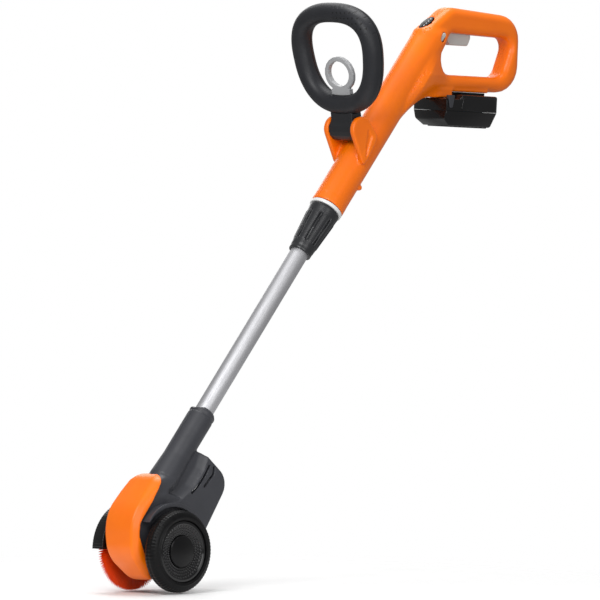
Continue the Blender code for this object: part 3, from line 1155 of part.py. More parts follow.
def wheel(axle):
    """Make the guide wheel: tyre, hub, cap, axle pin and clip."""
    arc = [math.pi / 2 * (1 - 2 * i / 6) for i in range(7)]
    crown = WHEEL_RADIUS - TYRE_BASE - MM
    tyre = [(TYRE_BASE + MM + crown * math.cos(t), TYRE_MIDDLE + TYRE_HALF_WIDTH * math.sin(t)) for t in arc]
    tyre += [(TYRE_BASE, TYRE_MIDDLE - TYRE_HALF_WIDTH + 2 * MM), (TYRE_BASE, TYRE_MIDDLE + TYRE_HALF_WIDTH - 2 * MM)]
    turned("wheel_tyre", tyre, axle, "rubber", WHEEL_SEGMENTS, "-Y")
    bore = AXLE_RADIUS + CLEARANCE
    start = -HEAD_NEAR + 3 * MM
    web = AXLE_END + 0.5 * MM
    rim = HUB_RIM_RADIUS
    boss = HUB_BOSS_RADIUS
    clip_seat = AXLE_END - 2.4 * MM
    dish = rim - HUB_RIM_WALL - 1.5 * MM
    well = boss + 2 * MM
    hub = [(bore, start), (boss, start), (boss + MM, HUB_WEB_BACK), (dish, HUB_WEB_BACK),
           (rim - HUB_RIM_WALL, HUB_BACK), (rim, HUB_BACK), (rim, HUB_FACE), (rim - 2.1 * MM, HUB_FACE + 0.5 * MM),
           (dish, web), (well, web), (well, clip_seat), (bore, clip_seat)]
    turned("wheel_hub", hub, axle, "black_abs", WHEEL_SEGMENTS, "-Y")
    cap_low = web + CLEARANCE
    cap = [(0, cap_low + 4.8 * MM), (10 * MM, cap_low + 4.2 * MM), (17 * MM, cap_low + 2.8 * MM),
           (CAP_RADIUS, cap_low + MM), (CAP_RADIUS, cap_low), (12 * MM, cap_low), (12 * MM, cap_low + 1.2 * MM),
           (0, cap_low + 1.2 * MM)]
    turned("hub_cap", cap, axle, "black_abs", LARGE_SEGMENTS, "-Y")
    flange = -HEAD_NEAR + CLEARANCE
    low = -HEAD_NEAR - 8 * MM + CLEARANCE
    turned("wheel_axle", [(0, low), (AXLE_RADIUS, low), (AXLE_RADIUS, flange), (boss, flange),
                          (boss, start - CLEARANCE), (AXLE_RADIUS, start - CLEARANCE), (AXLE_RADIUS, AXLE_END),
                          (0, AXLE_END)], axle, "steel", ROUND_SEGMENTS, "-Y")
    clip_low = clip_seat + CLEARANCE
    turned("axle_clip", [(bore, clip_low), (boss, clip_low), (boss, clip_low + CLIP_THICKNESS),
                         (bore, clip_low + CLIP_THICKNESS)], axle, "steel", ROUND_SEGMENTS, "-Y")


def stand_on_ground(root):
    """Move the tool so that the middle of its box's underside is the origin."""
    bpy.context.view_layer.update()
    graph = bpy.context.evaluated_depsgraph_get()
    corners = []
    for solid in bpy.data.objects:
        if solid.type in {"MESH", "CURVE"} and not solid.hide_render:
            mesh = solid.evaluated_get(graph).to_mesh()
            corners += [solid.matrix_world @ vert.co for vert in mesh.vertices]
    low = Vector([min(c[i] for c in corners) for i in range(3)])
    high = Vector([max(c[i] for c in corners) for i in range(3)])
    root.location = (-(low.x + high.x) / 2, -(low.y + high.y) / 2, -low.z)
    bpy.context.view_layer.update()


def main():
    """Build the weeder."""
    clear_scene()
    root = frame_at("weeder")
    axle = frame_at("axle_frame", root)
    foot = (-AXLE_OFFSET * math.cos(SHAFT_LEAN), 0, AXLE_OFFSET * math.sin(SHAFT_LEAN))
    shaft = frame_at("shaft_frame", root, foot, SHAFT_LEAN)
    grip = frame_at("grip_frame", shaft, (0, 0, GRIP_STATION), GRIP_TILT - SHAFT_LEAN)
    loop = frame_at("loop_frame", shaft, (-PIVOT_OFFSET, 0, PIVOT_STATION), LOOP_LEAN - SHAFT_LEAN)
    tube_and_collar(shaft)
    handle_housing(shaft, grip)
    controls(shaft, grip)
    battery(grip)
    loop_handle(shaft, loop)
    release_ring(loop)
    head_housing(axle, shaft)
    front_cover(axle, shaft)
    brush_guard(axle)
    motor(shaft)
    gears(shaft)
    spindle(axle)
    brush(axle)
    wheel(axle)
    stand_on_ground(root)


main()
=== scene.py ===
"""Looks of the cordless patio weeder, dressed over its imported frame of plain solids.

Lengths in the sub-assembly classes are millimetres and are turned to metres when a mesh
is made. +X points back to the user, +Y to the brush side, -Y to the guide wheel, +Z up.
"""
import json
import logging
import math
from dataclasses import dataclass, field
from enum import Enum
from typing import Any, Callable, Sequence

import bmesh
import bpy
import numpy as np
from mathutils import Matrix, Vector


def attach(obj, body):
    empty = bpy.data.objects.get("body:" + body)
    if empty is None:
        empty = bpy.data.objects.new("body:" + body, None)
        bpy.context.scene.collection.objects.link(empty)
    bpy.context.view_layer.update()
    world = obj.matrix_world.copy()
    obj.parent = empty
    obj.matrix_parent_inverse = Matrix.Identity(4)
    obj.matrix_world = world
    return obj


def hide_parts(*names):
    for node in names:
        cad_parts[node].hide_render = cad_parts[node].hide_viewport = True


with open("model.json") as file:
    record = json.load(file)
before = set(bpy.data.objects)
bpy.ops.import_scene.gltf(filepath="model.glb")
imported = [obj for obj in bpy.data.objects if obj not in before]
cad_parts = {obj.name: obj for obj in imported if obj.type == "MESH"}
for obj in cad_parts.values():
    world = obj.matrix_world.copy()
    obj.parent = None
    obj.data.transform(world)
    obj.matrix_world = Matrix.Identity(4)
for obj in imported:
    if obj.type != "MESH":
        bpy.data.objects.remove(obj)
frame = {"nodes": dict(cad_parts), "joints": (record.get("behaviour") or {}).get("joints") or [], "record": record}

MM = 0.001
FLAT_ANGLE = 0.6    # Faces of a frame node that meet under this angle in degrees are one face
EDGE_ANGLE = 32     # Edges over this angle in degrees are rounded
SEAM_HALF = 0.15    # Half the gap between the two halves of a shell, in millimetres
LOG = logging.getLogger("weeder")
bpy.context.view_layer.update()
Corner = tuple[float, float, float]


class Side(Enum):
    """The two sides of the tool, as the sign of y."""

    NEAR = -1
    FAR = 1


class Turn(Enum):
    """The axis that a turned piece goes round."""

    ACROSS = "y"
    ALONG = "z"


# Places

@dataclass(frozen=True)
class Place:
    """The axes of one sub-assembly: its origin in millimetres and its turn about +Y."""

    origin: tuple[float, float, float]
    lean: float

    def matrix(self) -> np.ndarray:
        """Return the 3x3 matrix whose columns are the local axes."""
        c, s = math.cos(self.lean), math.sin(self.lean)
        return np.array([[c, 0, s], [0, 1, 0], [-s, 0, c]])

    def world(self, points: np.ndarray) -> np.ndarray:
        """Turn local millimetres into world millimetres."""
        return points @ self.matrix().T + np.array(self.origin)

    def local(self, points: np.ndarray) -> np.ndarray:
        """Turn world millimetres into local millimetres."""
        return (points - np.array(self.origin)) @ self.matrix()

    def on(self, x: float, y: float, z: float, lean: float) -> "Place":
        """Return axes at a local point, with their own turn from upright."""
        return Place(tuple(self.world(np.array([x, y, z], float)).tolist()), lean)


WORLD = Place((0.0, 0.0, 0.0), 0.0)


def joint_point(name: str) -> tuple[float, float, float]:
    """Return a hinge's point in millimetres."""
    found = [j for j in frame["joints"] if j["name"] == name][0]
    return tuple(float(c) / MM for c in found["pos_m"])


SHAFT_LEAN = math.radians(40.7)
AXLE_OFFSET = 47.5
AXLE = Place(joint_point("wheel_spin"), 0.0)
SHAFT = AXLE.on(-AXLE_OFFSET * math.cos(SHAFT_LEAN), 0, AXLE_OFFSET * math.sin(SHAFT_LEAN), SHAFT_LEAN)
GRIP = SHAFT.on(0, 0, 790, math.radians(4))
LOOP = Place(joint_point("loop_tilt"), math.radians(-10))

# The indicator's seat on the handle's slanted top, which rises 32.5 mm over 45 mm in the grip's axes
SEAT_START = (5.0, 44.0)
SEAT_SLOPE = math.atan2(32.5, 45)
SEAT_ALONG = 17.0
INDICATOR = GRIP.on(SEAT_START[0] + SEAT_ALONG * math.cos(SEAT_SLOPE), 0,
                    SEAT_START[1] + SEAT_ALONG * math.sin(SEAT_SLOPE), GRIP.lean - SEAT_SLOPE)

# Screws, as (x, z) in the grip's and the shaft's axes, and how far towards +Y their heads sit
HANDLE_SCREWS = ((112, 53), (173, 14), (92, -24))
HANDLE_SCREW_SEAT = 13.0
HEAD_SCREWS = ((76, 78), (75, 122), (24, 132))
HEAD_SCREW_SEAT = 20.0
SCREW_WELL = 3.5

# The drum: its middle over the axle, its radius, and the y of its two sides
DRUM_RISE = 17.6
DRUM_RADIUS = 57.5
DRUM_NEAR = -22.0
DRUM_FAR = 30.0


# Shapes

def filleted(corners: Sequence[Corner], closed: bool = True, steps: int = 6) -> np.ndarray:
    """Round an outline's corners.

    Between a corner's two tangent points the outline follows an arc: the start arm turned
    evenly into the end arm, sin((1-t)w)/sin(w) of one plus sin(tw)/sin(w) of the other.

    Args:
        corners: (a, b, radius) for each corner, in millimetres.
        closed: Whether the last corner joins the first.
        steps: Chords in each arc.

    Returns:
        The outline's points, one row each.
    """
    parts = []
    for i, (a, b, radius) in enumerate(corners):
        corner = np.array((a, b), float)
        if radius == 0 or (not closed and i in (0, len(corners) - 1)):
            parts.append(corner[None])
            continue
        before = np.array(corners[i - 1][:2]) - corner
        after = np.array(corners[(i + 1) % len(corners)][:2]) - corner
        before = before / np.linalg.norm(before)
        after = after / np.linalg.norm(after)
        half = math.acos(float(np.clip(before @ after, -1, 1))) / 2
        middle = corner + (before + after) / np.linalg.norm(before + after) * radius / math.sin(half)
        start = corner + before * radius / math.tan(half) - middle
        end = corner + after * radius / math.tan(half) - middle
        swing = math.pi - 2 * half
        t = np.linspace(0, 1, steps + 1)[:, None]
        parts.append(middle + (np.sin((1 - t) * swing) * start + np.sin(t * swing) * end) / math.sin(swing))
    return np.vstack(parts)


def even(points: np.ndarray, count: int, closed: bool = False) -> np.ndarray:
    """Respace a polyline at equal arc lengths.

    Args:
        points: The polyline, one point a row.
        count: Points wanted.
        closed: Whether it returns to its start.

    Returns:
        The respaced points, without a repeated last point when closed.
    """
    if closed:
        points = np.vstack([points, points[:1]])
    run = np.concatenate([[0], np.cumsum(np.linalg.norm(np.diff(points, axis=0), axis=1))])
    at = np.linspace(0, run[-1], count + 1)[:-1] if closed else np.linspace(0, run[-1], count)
    return np.stack([np.interp(at, run, points[:, k]) for k in range(points.shape[1])], 1)


def inset(outline: np.ndarray, distance: float) -> np.ndarray:
    """Move a closed outline's points inwards along its normals.

    Args:
        outline: Closed outline, one (a, b) a row.
        distance: How far inwards, in millimetres.

    Returns:
        The moved outline.
    """
    ahead = np.roll(outline, -1, 0) - outline
    behind = outline - np.roll(outline, 1, 0)
    ahead = ahead / np.maximum(np.linalg.norm(ahead, axis=1, keepdims=True), 1e-9)
    behind = behind / np.maximum(np.linalg.norm(behind, axis=1, keepdims=True), 1e-9)
    along = ahead + behind
    along = along / np.maximum(np.linalg.norm(along, axis=1, keepdims=True), 1e-9)
    area = np.sum(outline[:, 0] * np.roll(outline[:, 1], -1) - np.roll(outline[:, 0], -1) * outline[:, 1])
    return outline + np.sign(area) * distance * np.stack([-along[:, 1], along[:, 0]], 1)


def sweep_angles(count: int, start: float = 0.0, end: float = 360.0) -> np.ndarray:
    """Return angles in radians: a full ring without its repeat, or an arc with both ends."""
    full = abs(end - start) >= 360
    return np.radians(np.linspace(start, end, count, endpoint=not full))


def round_about(radius: np.ndarray, height: np.ndarray, angles: np.ndarray, turn: Turn) -> np.ndarray:
    """Turn a profile about an axis.

    A point is at (r cos a, r sin a) in the plane across the axis, and at its height along it.

    Args:
        radius: One value a row, or one for each row and angle.
        height: The same, along the axis.
        angles: The angles of the columns.
        turn: The axis.

    Returns:
        A grid of local points.
    """
    shape = (np.shape(radius)[0], angles.size)
    r = np.broadcast_to(radius if np.ndim(radius) == 2 else np.asarray(radius)[:, None], shape)
    h = np.broadcast_to(height if np.ndim(height) == 2 else np.asarray(height)[:, None], shape)
    a, b = r * np.cos(angles), r * np.sin(angles)
    return np.stack([a, h, b] if turn is Turn.ACROSS else [a, b, h], -1)


def surface(
    name: str,
    grid: np.ndarray,
    place: Place,
    wrap: tuple[bool, bool] = (False, True),
    sharp: float = 40.0,
    closed: bool = True,
) -> bpy.types.Object:
    """Make a mesh from a grid of local points.

    Args:
        name: The piece's name.
        grid: Points as (rows, columns, 3), in millimetres.
        place: The axes that the points are in.
        wrap: Whether the last row joins the first, and the last column the first.
        sharp: Edges that turn by more than this many degrees are kept crisp.
        closed: Whether open rims are filled, so that the mesh is a closed solid.

    Returns:
        The object, at the origin with its place in its mesh.
    """
    rows, columns = grid.shape[:2]
    i = np.arange(rows if wrap[0] else rows - 1)[:, None]
    j = np.arange(columns if wrap[1] else columns - 1)[None, :]
    down, right = (i + 1) % rows, (j + 1) % columns
    corners = [i * columns + j, i * columns + right, down * columns + right, down * columns + j]
    quads = np.stack([np.broadcast_to(c, (i.size, j.size)) for c in corners], -1).reshape(-1, 4)
    return solid(name, place.world(grid.reshape(-1, 3)), quads, sharp, closed)


def solid(name: str, points: np.ndarray, quads: np.ndarray, sharp: float, closed: bool) -> bpy.types.Object:
    """Put points and faces in a mesh, close it and face it outwards.

    Args:
        name: The piece's name.
        points: World millimetres, one point a row.
        quads: Four point numbers a row.
        sharp: Crisp edges turn by more than this many degrees.
        closed: Whether open rims are filled.

    Returns:
        The object.
    """
    mesh = bpy.data.meshes.new(name)
    mesh.from_pydata((points * MM).tolist(), [], quads.tolist())
    bm = bmesh.new()
    bm.from_mesh(mesh)
    bmesh.ops.remove_doubles(bm, verts=bm.verts, dist=1e-6)
    bmesh.ops.dissolve_degenerate(bm, edges=bm.edges, dist=1e-6)
    if closed:
        bmesh.ops.holes_fill(bm, edges=[e for e in bm.edges if e.is_boundary])
        bmesh.ops.recalc_face_normals(bm, faces=bm.faces)
    bm.to_mesh(mesh)
    bm.free()
    obj = bpy.data.objects.new(name, mesh)
    bpy.context.scene.collection.objects.link(obj)
    soften(obj, sharp)
    return obj


def soften(obj: bpy.types.Object, sharp: float) -> None:
    """Shade a mesh smooth, with its edges over an angle in degrees kept crisp."""
    obj.data.shade_smooth()
    obj.data.set_sharp_from_angle(angle=math.radians(sharp))


def plate(
    name: str,
    outline: np.ndarray,
    low: float,
    high: float,
    edge: float,
    place: Place,
) -> bpy.types.Object:
    """Make a plate with rounded rims, its outline in the local xz plane and its depth along y.

    At a rim the outline moves in by edge (1 - sin a) while the depth moves by edge (1 - cos a).

    Args:
        name: The piece's name.
        outline: Closed outline in millimetres.
        low: Lower y.
        high: Upper y.
        edge: Rim radius.
        place: The axes.

    Returns:
        The plate.
    """
    a = np.linspace(0, math.pi / 2, 5)
    moves = [(edge * (1 - math.sin(t)), low + edge * (1 - math.cos(t))) for t in a]
    moves += [(m, high - (d - low)) for m, d in reversed(moves)]
    rings = []
    for move, depth in moves:
        ring = inset(outline, move)
        rings.append(np.stack([ring[:, 0], np.full(len(ring), depth), ring[:, 1]], 1))
    return surface(name, np.stack(rings), place, (False, True))


def carried(obj: bpy.types.Object) -> bpy.types.Object:
    """Give an object the mesh that its modifiers make, and clear them.

    Args:
        obj: The object.

    Returns:
        The same object.
    """
    bpy.context.view_layer.update()
    evaluated = obj.evaluated_get(bpy.context.evaluated_depsgraph_get())
    mesh = bpy.data.meshes.new_from_object(evaluated)
    obj.modifiers.clear()
    obj.data = mesh
    return obj


def relax(obj: bpy.types.Object, passes: int, sharp: float, voxel: float = 0.0) -> None:
    """Even out a mesh: rebuild it in cells of one size, where one is given, and smooth it.

    Args:
        obj: The piece.
        passes: How often the mesh is smoothed.
        sharp: Edges over this angle in degrees stay crisp.
        voxel: The cells' size in millimetres, or 0 to keep the mesh's own faces.
    """
    if voxel:
        cells = obj.modifiers.new("cells", "REMESH")
        cells.mode = "VOXEL"
        cells.voxel_size = voxel * MM
    smooth = obj.modifiers.new("smooth", "SMOOTH")
    smooth.factor = 0.5
    smooth.iterations = passes
    carried(obj)
    soften(obj, sharp)


def reshape(obj: bpy.types.Object, place: Place, change: Callable[[np.ndarray], None]) -> None:
    """Change where a mesh's points are.

    Args:
        obj: The piece.
        place: The axes that the change works in.
        change: Alters the local points, one row each in millimetres, in place.
    """
    points = np.empty(3 * len(obj.data.vertices))
    obj.data.vertices.foreach_get("co", points)
    local = place.local(points.reshape(-1, 3) / MM)
    change(local)
    obj.data.vertices.foreach_set("co", (place.world(local) * MM).reshape(-1))


def twin(node: str, name: str) -> bpy.types.Object:
    """Copy a frame node and join up its loose triangles.

    Args:
        node: The frame node, which is left alone.
        name: The copy's name.

    Returns:
        The copy.
    """
    obj = bpy.data.objects.new(name, frame["nodes"][node].data.copy())
    bpy.context.scene.collection.objects.link(obj)
    obj.data.materials.clear()
    bm = bmesh.new()
    bm.from_mesh(obj.data)
    bmesh.ops.remove_doubles(bm, verts=bm.verts, dist=2e-6)
    bmesh.ops.dissolve_limit(bm, angle_limit=math.radians(FLAT_ANGLE), verts=bm.verts, edges=bm.edges)
    bm.to_mesh(obj.data)
    bm.free()
    if obj.data.has_custom_normals:
        obj.data.attributes.remove(obj.data.attributes["custom_normal"])
    return obj


def without(obj: bpy.types.Object, cutters: Sequence[bpy.types.Object]) -> bpy.types.Object:
    """Cut solids out of an object and delete them.

    Args:
        obj: The object.
        cutters: The solids to cut out.

    Returns:
        The same object.
    """
    for cutter in cutters:
        modifier = obj.modifiers.new(cutter.name, "BOOLEAN")
        modifier.operation = "DIFFERENCE"
        modifier.solver = "EXACT"
        modifier.object = cutter
    carried(obj)
    for cutter in cutters:
        bpy.data.objects.remove(cutter)
    return obj


def halved(obj: bpy.types.Object, name: str, side: Side) -> bpy.types.Object:
    """Return one half of a solid, cut flat beside the middle plane.

    Points close to the cut are first moved across onto it, so that no slivers are left there.

    Args:
        obj: The whole solid.
        name: The half's name.
        side: The side to keep.

    Returns:
        The half.
    """
    half = bpy.data.objects.new(name, obj.data.copy())
    bpy.context.scene.collection.objects.link(half)
    cut = side.value * SEAM_HALF
    near_cut = 0.55

    def snap(points: np.ndarray) -> None:
        """Move the points close to the cut onto it."""
        points[:, 1] = np.where(np.abs(points[:, 1] - cut) < near_cut, cut, points[:, 1])

    reshape(half, WORLD, snap)
    bm = bmesh.new()
    bm.from_mesh(half.data)
    bmesh.ops.bisect_plane(bm, geom=[*bm.verts, *bm.edges, *bm.faces], dist=1e-6, clear_inner=True,
                           plane_co=(0, cut * MM, 0), plane_no=(0, side.value, 0))
    bmesh.ops.triangle_fill(bm, edges=[e for e in bm.edges if e.is_boundary], use_beauty=True)
    bmesh.ops.recalc_face_normals(bm, faces=bm.faces)
    bm.to_mesh(half.data)
    bm.free()
    soften(half, 50)
    return half


def remoulded(
    node: str, name: str, voxel: float, passes: int, cutters: Sequence[bpy.types.Object] = ()
) -> bpy.types.Object:
    """Copy a frame node and give it the soft edges and filled corners of a moulding.

    Args:
        node: The frame node.
        name: The copy's name.
        voxel: Size of the even mesh, in millimetres.
        passes: How often that mesh is smoothed.
        cutters: Solids to cut out first.

    Returns:
        The copy.
    """
    obj = twin(node, name)
    if cutters:
        without(obj, cutters)
    relax(obj, passes, 60, voxel)
    return obj


def edged(node: str, name: str, width: float) -> bpy.types.Object:
    """Copy a frame node and round its edges.

    Args:
        node: The frame node.
        name: The copy's name.
        width: Width of the rounding, in millimetres.

    Returns:
        The copy.
    """
    obj = twin(node, name)
    bevel = obj.modifiers.new("edges", "BEVEL")
    bevel.limit_method = "ANGLE"
    bevel.angle_limit = math.radians(EDGE_ANGLE)
    bevel.width = width * MM
    bevel.segments = 2
    carried(obj)
    soften(obj, 50)
    return obj


# Fields

def joined(a: np.ndarray, b: np.ndarray, fillet: float | np.ndarray) -> np.ndarray:
    """Join two fields with a round fillet.

    Where both distances are under the fillet, the joint field is the fillet less the length
    of (fillet - a, fillet - b), which is an arc.

    Args:
        a: One field.
        b: The other field.
        fillet: The fillet's radius in millimetres, one value or one for each sample.

    Returns:
        The joint field.
    """
    arc = np.hypot(np.maximum(fillet - a, 0), np.maximum(fillet - b, 0))
    return np.maximum(fillet, np.minimum(a, b)) - arc


def kept(a: np.ndarray, b: np.ndarray, edge: float | np.ndarray) -> np.ndarray:
    """Keep what two fields share, with a round edge: the mirror image of a fillet."""
    arc = np.hypot(np.maximum(a + edge, 0), np.maximum(b + edge, 0))
    return np.minimum(-edge, np.maximum(a, b)) + arc


def outline_distance(outline: np.ndarray, a: np.ndarray, b: np.ndarray, closed: bool = True) -> np.ndarray:
    """Return each point's distance to an outline, negative inside a closed one.

    The distance is the least over the outline's chords, each taken at its nearest point. A
    point is inside where a line from it to one side crosses an odd number of chords.

    Args:
        outline: The corners, one (a, b) a row.
        a: First coordinates of the points.
        b: Second coordinates.
        closed: Whether the last corner joins the first.

    Returns:
        The distances, in the points' own shape.
    """
    a, b = np.broadcast_arrays(a, b)
    point = np.stack([a.ravel(), b.ravel()], 1)[:, None].astype(np.float32)
    start = outline.astype(np.float32)
    end = np.roll(start, -1, 0)
    if not closed:
        start, end = start[:-1], end[:-1]
    chord = end - start
    along = ((point - start) * chord).sum(-1) / np.maximum((chord ** 2).sum(-1), 1e-9)
    gap = np.linalg.norm(point - start - np.clip(along, 0, 1)[..., None] * chord, axis=-1).min(1)
    if closed:
        spans = (start[:, 1] <= point[..., 1]) != (end[:, 1] <= point[..., 1])
        rise = np.where(np.abs(chord[:, 1]) < 1e-9, 1e-9, chord[:, 1])
        reach = start[:, 0] + (point[..., 1] - start[:, 1]) * chord[:, 0] / rise
        gap = np.where((spans & (point[..., 0] < reach)).sum(1) % 2 == 1, -gap, gap)
    return gap.reshape(a.shape)


def hull(circles: Sequence[tuple[float, float, float]], count: int = 96) -> np.ndarray:
    """Return the outline round some circles, which in each direction follows the furthest of them.

    Args:
        circles: (a, b, radius) for each circle, in millimetres.
        count: Points on the outline.

    Returns:
        The outline's points, one row each.
    """
    t = sweep_angles(count)
    normal = np.stack([np.cos(t), np.sin(t)], 1)
    data = np.array(circles, float)
    furthest = np.argmax(data[:, :2] @ normal.T + data[:, 2:], 0)
    return data[furthest, :2] + data[furthest, 2:] * normal


@dataclass
class Volume:
    """A block of sample points in world millimetres. A solid is where a field on it is negative."""

    low: tuple[float, float, float]
    high: tuple[float, float, float]
    step: float
    x: np.ndarray = field(init=False)
    y: np.ndarray = field(init=False)
    z: np.ndarray = field(init=False)

    def __post_init__(self) -> None:
        """Lay out the sample points' coordinates."""
        lines = [np.arange(low, high + self.step, self.step, dtype=np.float32)
                 for low, high in zip(self.low, self.high)]
        self.x, self.y, self.z = np.ix_(*lines)

    def seen(self, place: Place) -> tuple[np.ndarray, np.ndarray]:
        """Return where the samples are in a place's axes.

        The shapes below call the two results u and s in the shaft's axes, which run across
        the shaft and along it, and a and b in other axes.

        Args:
            place: The axes.

        Returns:
            The samples' local x and their local z.
        """
        x, z = self.x - place.origin[0], self.z - place.origin[2]
        c, s = math.cos(place.lean), math.sin(place.lean)
        return x * c - z * s, x * s + z * c

    def skin(self, name: str, values: np.ndarray, sharp: float = 60.0, passes: int = 2) -> bpy.types.Object:
        """Wrap a mesh round the places where a field is negative.

        Each cell that the surface crosses gets one point, the mean of the crossings on the
        cell's edges, each found by proportion. Each sample pair with the surface between
        them gets a face of the four cells around it.

        Args:
            name: The piece's name.
            values: The field.
            sharp: Edges over this angle in degrees stay crisp.
            passes: How often the mesh is relaxed.

        Returns:
            The object.
        """
        values = np.broadcast_to(values, (self.x.size, self.y.size, self.z.size))
        inside = values < 0
        steps = np.array([(i, j, k) for i in (0, 1) for j in (0, 1) for k in (0, 1)])
        n = np.array(values.shape) - 1
        corner = [inside[i:n[0] + i, j:n[1] + j, k:n[2] + k] for i, j, k in steps]
        crossed = np.logical_or.reduce(corner) & ~np.logical_and.reduce(corner)
        cells = np.argwhere(crossed)
        number = np.full(crossed.shape, -1)
        number[crossed] = np.arange(len(cells))
        at = cells[:, None] + steps
        value = values[at[..., 0], at[..., 1], at[..., 2]]
        pairs = np.array([(i, j) for i in range(8) for j in range(i + 1, 8)
                          if np.abs(steps[i] - steps[j]).sum() == 1])
        a, b = value[:, pairs[:, 0]], value[:, pairs[:, 1]]
        cut = (a < 0) != (b < 0)
        share = np.where(cut, a / np.where(cut, a - b, 1), 0)[..., None]
        place = steps[pairs[:, 0]] + share * (steps[pairs[:, 1]] - steps[pairs[:, 0]])
        middle = (place * cut[..., None]).sum(1) / cut.sum(1)[:, None]
        origin = np.array([self.x.flat[0], self.y.flat[0], self.z.flat[0]])
        points = origin + (cells + middle) * self.step
        quads = []
        for axis in range(3):
            u, v = np.eye(3, dtype=int)[[(axis + 1) % 3, (axis + 2) % 3]]
            first = np.swapaxes(inside, 0, axis)
            change = np.swapaxes(first[:-1] != first[1:], 0, axis)
            edge = np.argwhere(change)
            around = edge[:, None] - np.array([0 * u, u, u + v, v])
            ok = (around >= 0).all((1, 2)) & (around < n).all((1, 2))
            edge, around = edge[ok], around[ok]
            four = number[around[..., 0], around[..., 1], around[..., 2]]
            painted_tip_glow = inside[edge[:, 0], edge[:, 1], edge[:, 2]]
            quads.append(np.where(painted_tip_glow[:, None], four, four[:, ::-1]))
        obj = solid(name, points, np.vstack(quads), sharp, True)
        relax(obj, passes, sharp)
        return obj


# Finishes

def linear(colour: str) -> tuple[float, float, float, float]:
    """Turn an sRGB hex colour into a linear one.

    Args:
        colour: The colour as #RRGGBB.

    Returns:
        Red, green, blue and alpha.
    """
    srgb = np.array([int(colour[i:i + 2], 16) for i in (1, 3, 5)]) / 255
    value = np.where(srgb <= 0.04045, srgb / 12.92, ((srgb + 0.055) / 1.055) ** 2.4)
    return (*value.tolist(), 1.0)


def plug(tree: bpy.types.NodeTree, node: bpy.types.Node, **sockets: Any) -> bpy.types.Node:
    """Set or link a node's inputs.

    Args:
        tree: The material's or world's node tree.
        node: The node.
        sockets: A value or an output socket for each input. A name's underscores stand for
            spaces, and in_0 means the input with that number.

    Returns:
        The node.
    """
    for key, value in sockets.items():
        socket = node.inputs[int(key[3:])] if key.startswith("in_") else node.inputs[key.replace("_", " ")]
        if isinstance(value, bpy.types.NodeSocket):
            tree.links.new(value, socket)
        else:
            socket.default_value = value
    return node


def add(tree: bpy.types.NodeTree, kind: str, settings: dict[str, Any], **sockets: Any) -> bpy.types.Node:
    """Add a shader node with its settings and links.

    Args:
        tree: The material's or world's node tree.
        kind: The node's type.
        settings: Values of the node's own properties.
        sockets: Its inputs, as plug takes them.

    Returns:
        The node.
    """
    node = tree.nodes.new(kind)
    for key, value in settings.items():
        setattr(node, key, value)
    return plug(tree, node, **sockets)


@dataclass(frozen=True)
class Finish:
    """A finish: its name, its two close colours and how the light leaves it."""

    name: str
    colour: str
    shade: str
    roughness: float = 0.4
    spread: float = 0.06

    def material(self) -> bpy.types.Material:
        """Make the finish's material, or find it where it is made already.

        Returns:
            The material.
        """
        known = bpy.data.materials.get(self.name)
        if known:
            return known
        made = bpy.data.materials.new(self.name)
        made.use_nodes = True
        tree = made.node_tree
        place = tree.nodes.new("ShaderNodeTexCoord").outputs["Object"]
        self.dress(tree, tree.nodes["Principled BSDF"], place)
        return made

    def dress(self, tree: bpy.types.NodeTree, shader: bpy.types.Node, place: bpy.types.NodeSocket) -> None:
        """Add the finish's nodes. Each kind of finish has its own."""
        raise NotImplementedError

    def blend(self, tree: bpy.types.NodeTree, shader: bpy.types.Node, share: bpy.types.NodeSocket) -> None:
        """Colour the surface between the finish's two colours.

        Args:
            tree: The material's nodes.
            shader: Its shader.
            share: How much of the second colour shows, from 0 to 1.
        """
        mix = add(tree, "ShaderNodeMix", {"data_type": "RGBA"}, in_0=share, in_6=linear(self.colour),
                  in_7=linear(self.shade))
        plug(tree, shader, Base_Color=mix.outputs[2])

    def vary(self, tree: bpy.types.NodeTree, shader: bpy.types.Node, pattern: bpy.types.NodeSocket,
             low: float = 0.3, high: float = 0.7) -> None:
        """Vary colour and roughness with a pattern.

        Args:
            tree: The material's nodes.
            shader: Its shader.
            pattern: The pattern's value.
            low: The value at which only the first colour shows.
            high: The value at which only the second colour shows.
        """
        self.blend(tree, shader, add(tree, "ShaderNodeMapRange", {}, Value=pattern, From_Min=low,
                                     From_Max=high).outputs["Result"])
        rough = add(tree, "ShaderNodeMapRange", {}, Value=pattern, From_Min=0.3, From_Max=0.7,
                    To_Min=self.roughness - self.spread, To_Max=self.roughness + self.spread)
        plug(tree, shader, Roughness=rough.outputs["Result"])

    def patch(self, tree: bpy.types.NodeTree, shader: bpy.types.Node, place: bpy.types.NodeSocket,
              size: float) -> None:
        """Vary colour and roughness over soft patches.

        Args:
            tree: The material's nodes.
            shader: Its shader.
            place: The piece's coordinates.
            size: The patches' size in millimetres.
        """
        self.vary(tree, shader, add(tree, "ShaderNodeTexNoise", {}, Vector=place, Scale=1 / (size * MM),
                                    Detail=4.0).outputs[0])

    def relief(self, tree: bpy.types.NodeTree, shader: bpy.types.Node, height: bpy.types.NodeSocket,
               depth: float, strength: float = 1.0) -> None:
        """Give the surface a height pattern.

        Args:
            tree: The material's nodes.
            shader: Its shader.
            height: The pattern's value.
            depth: The pattern's depth in millimetres.
            strength: How much of it shows, from 0 to 1.
        """
        bump = add(tree, "ShaderNodeBump", {}, Height=height, Distance=depth * MM, Strength=strength)
        plug(tree, shader, Normal=bump.outputs[0])


FLOW_PATCH = 28.0   # Size in millimetres of the faint patches that plastic shows where it flowed


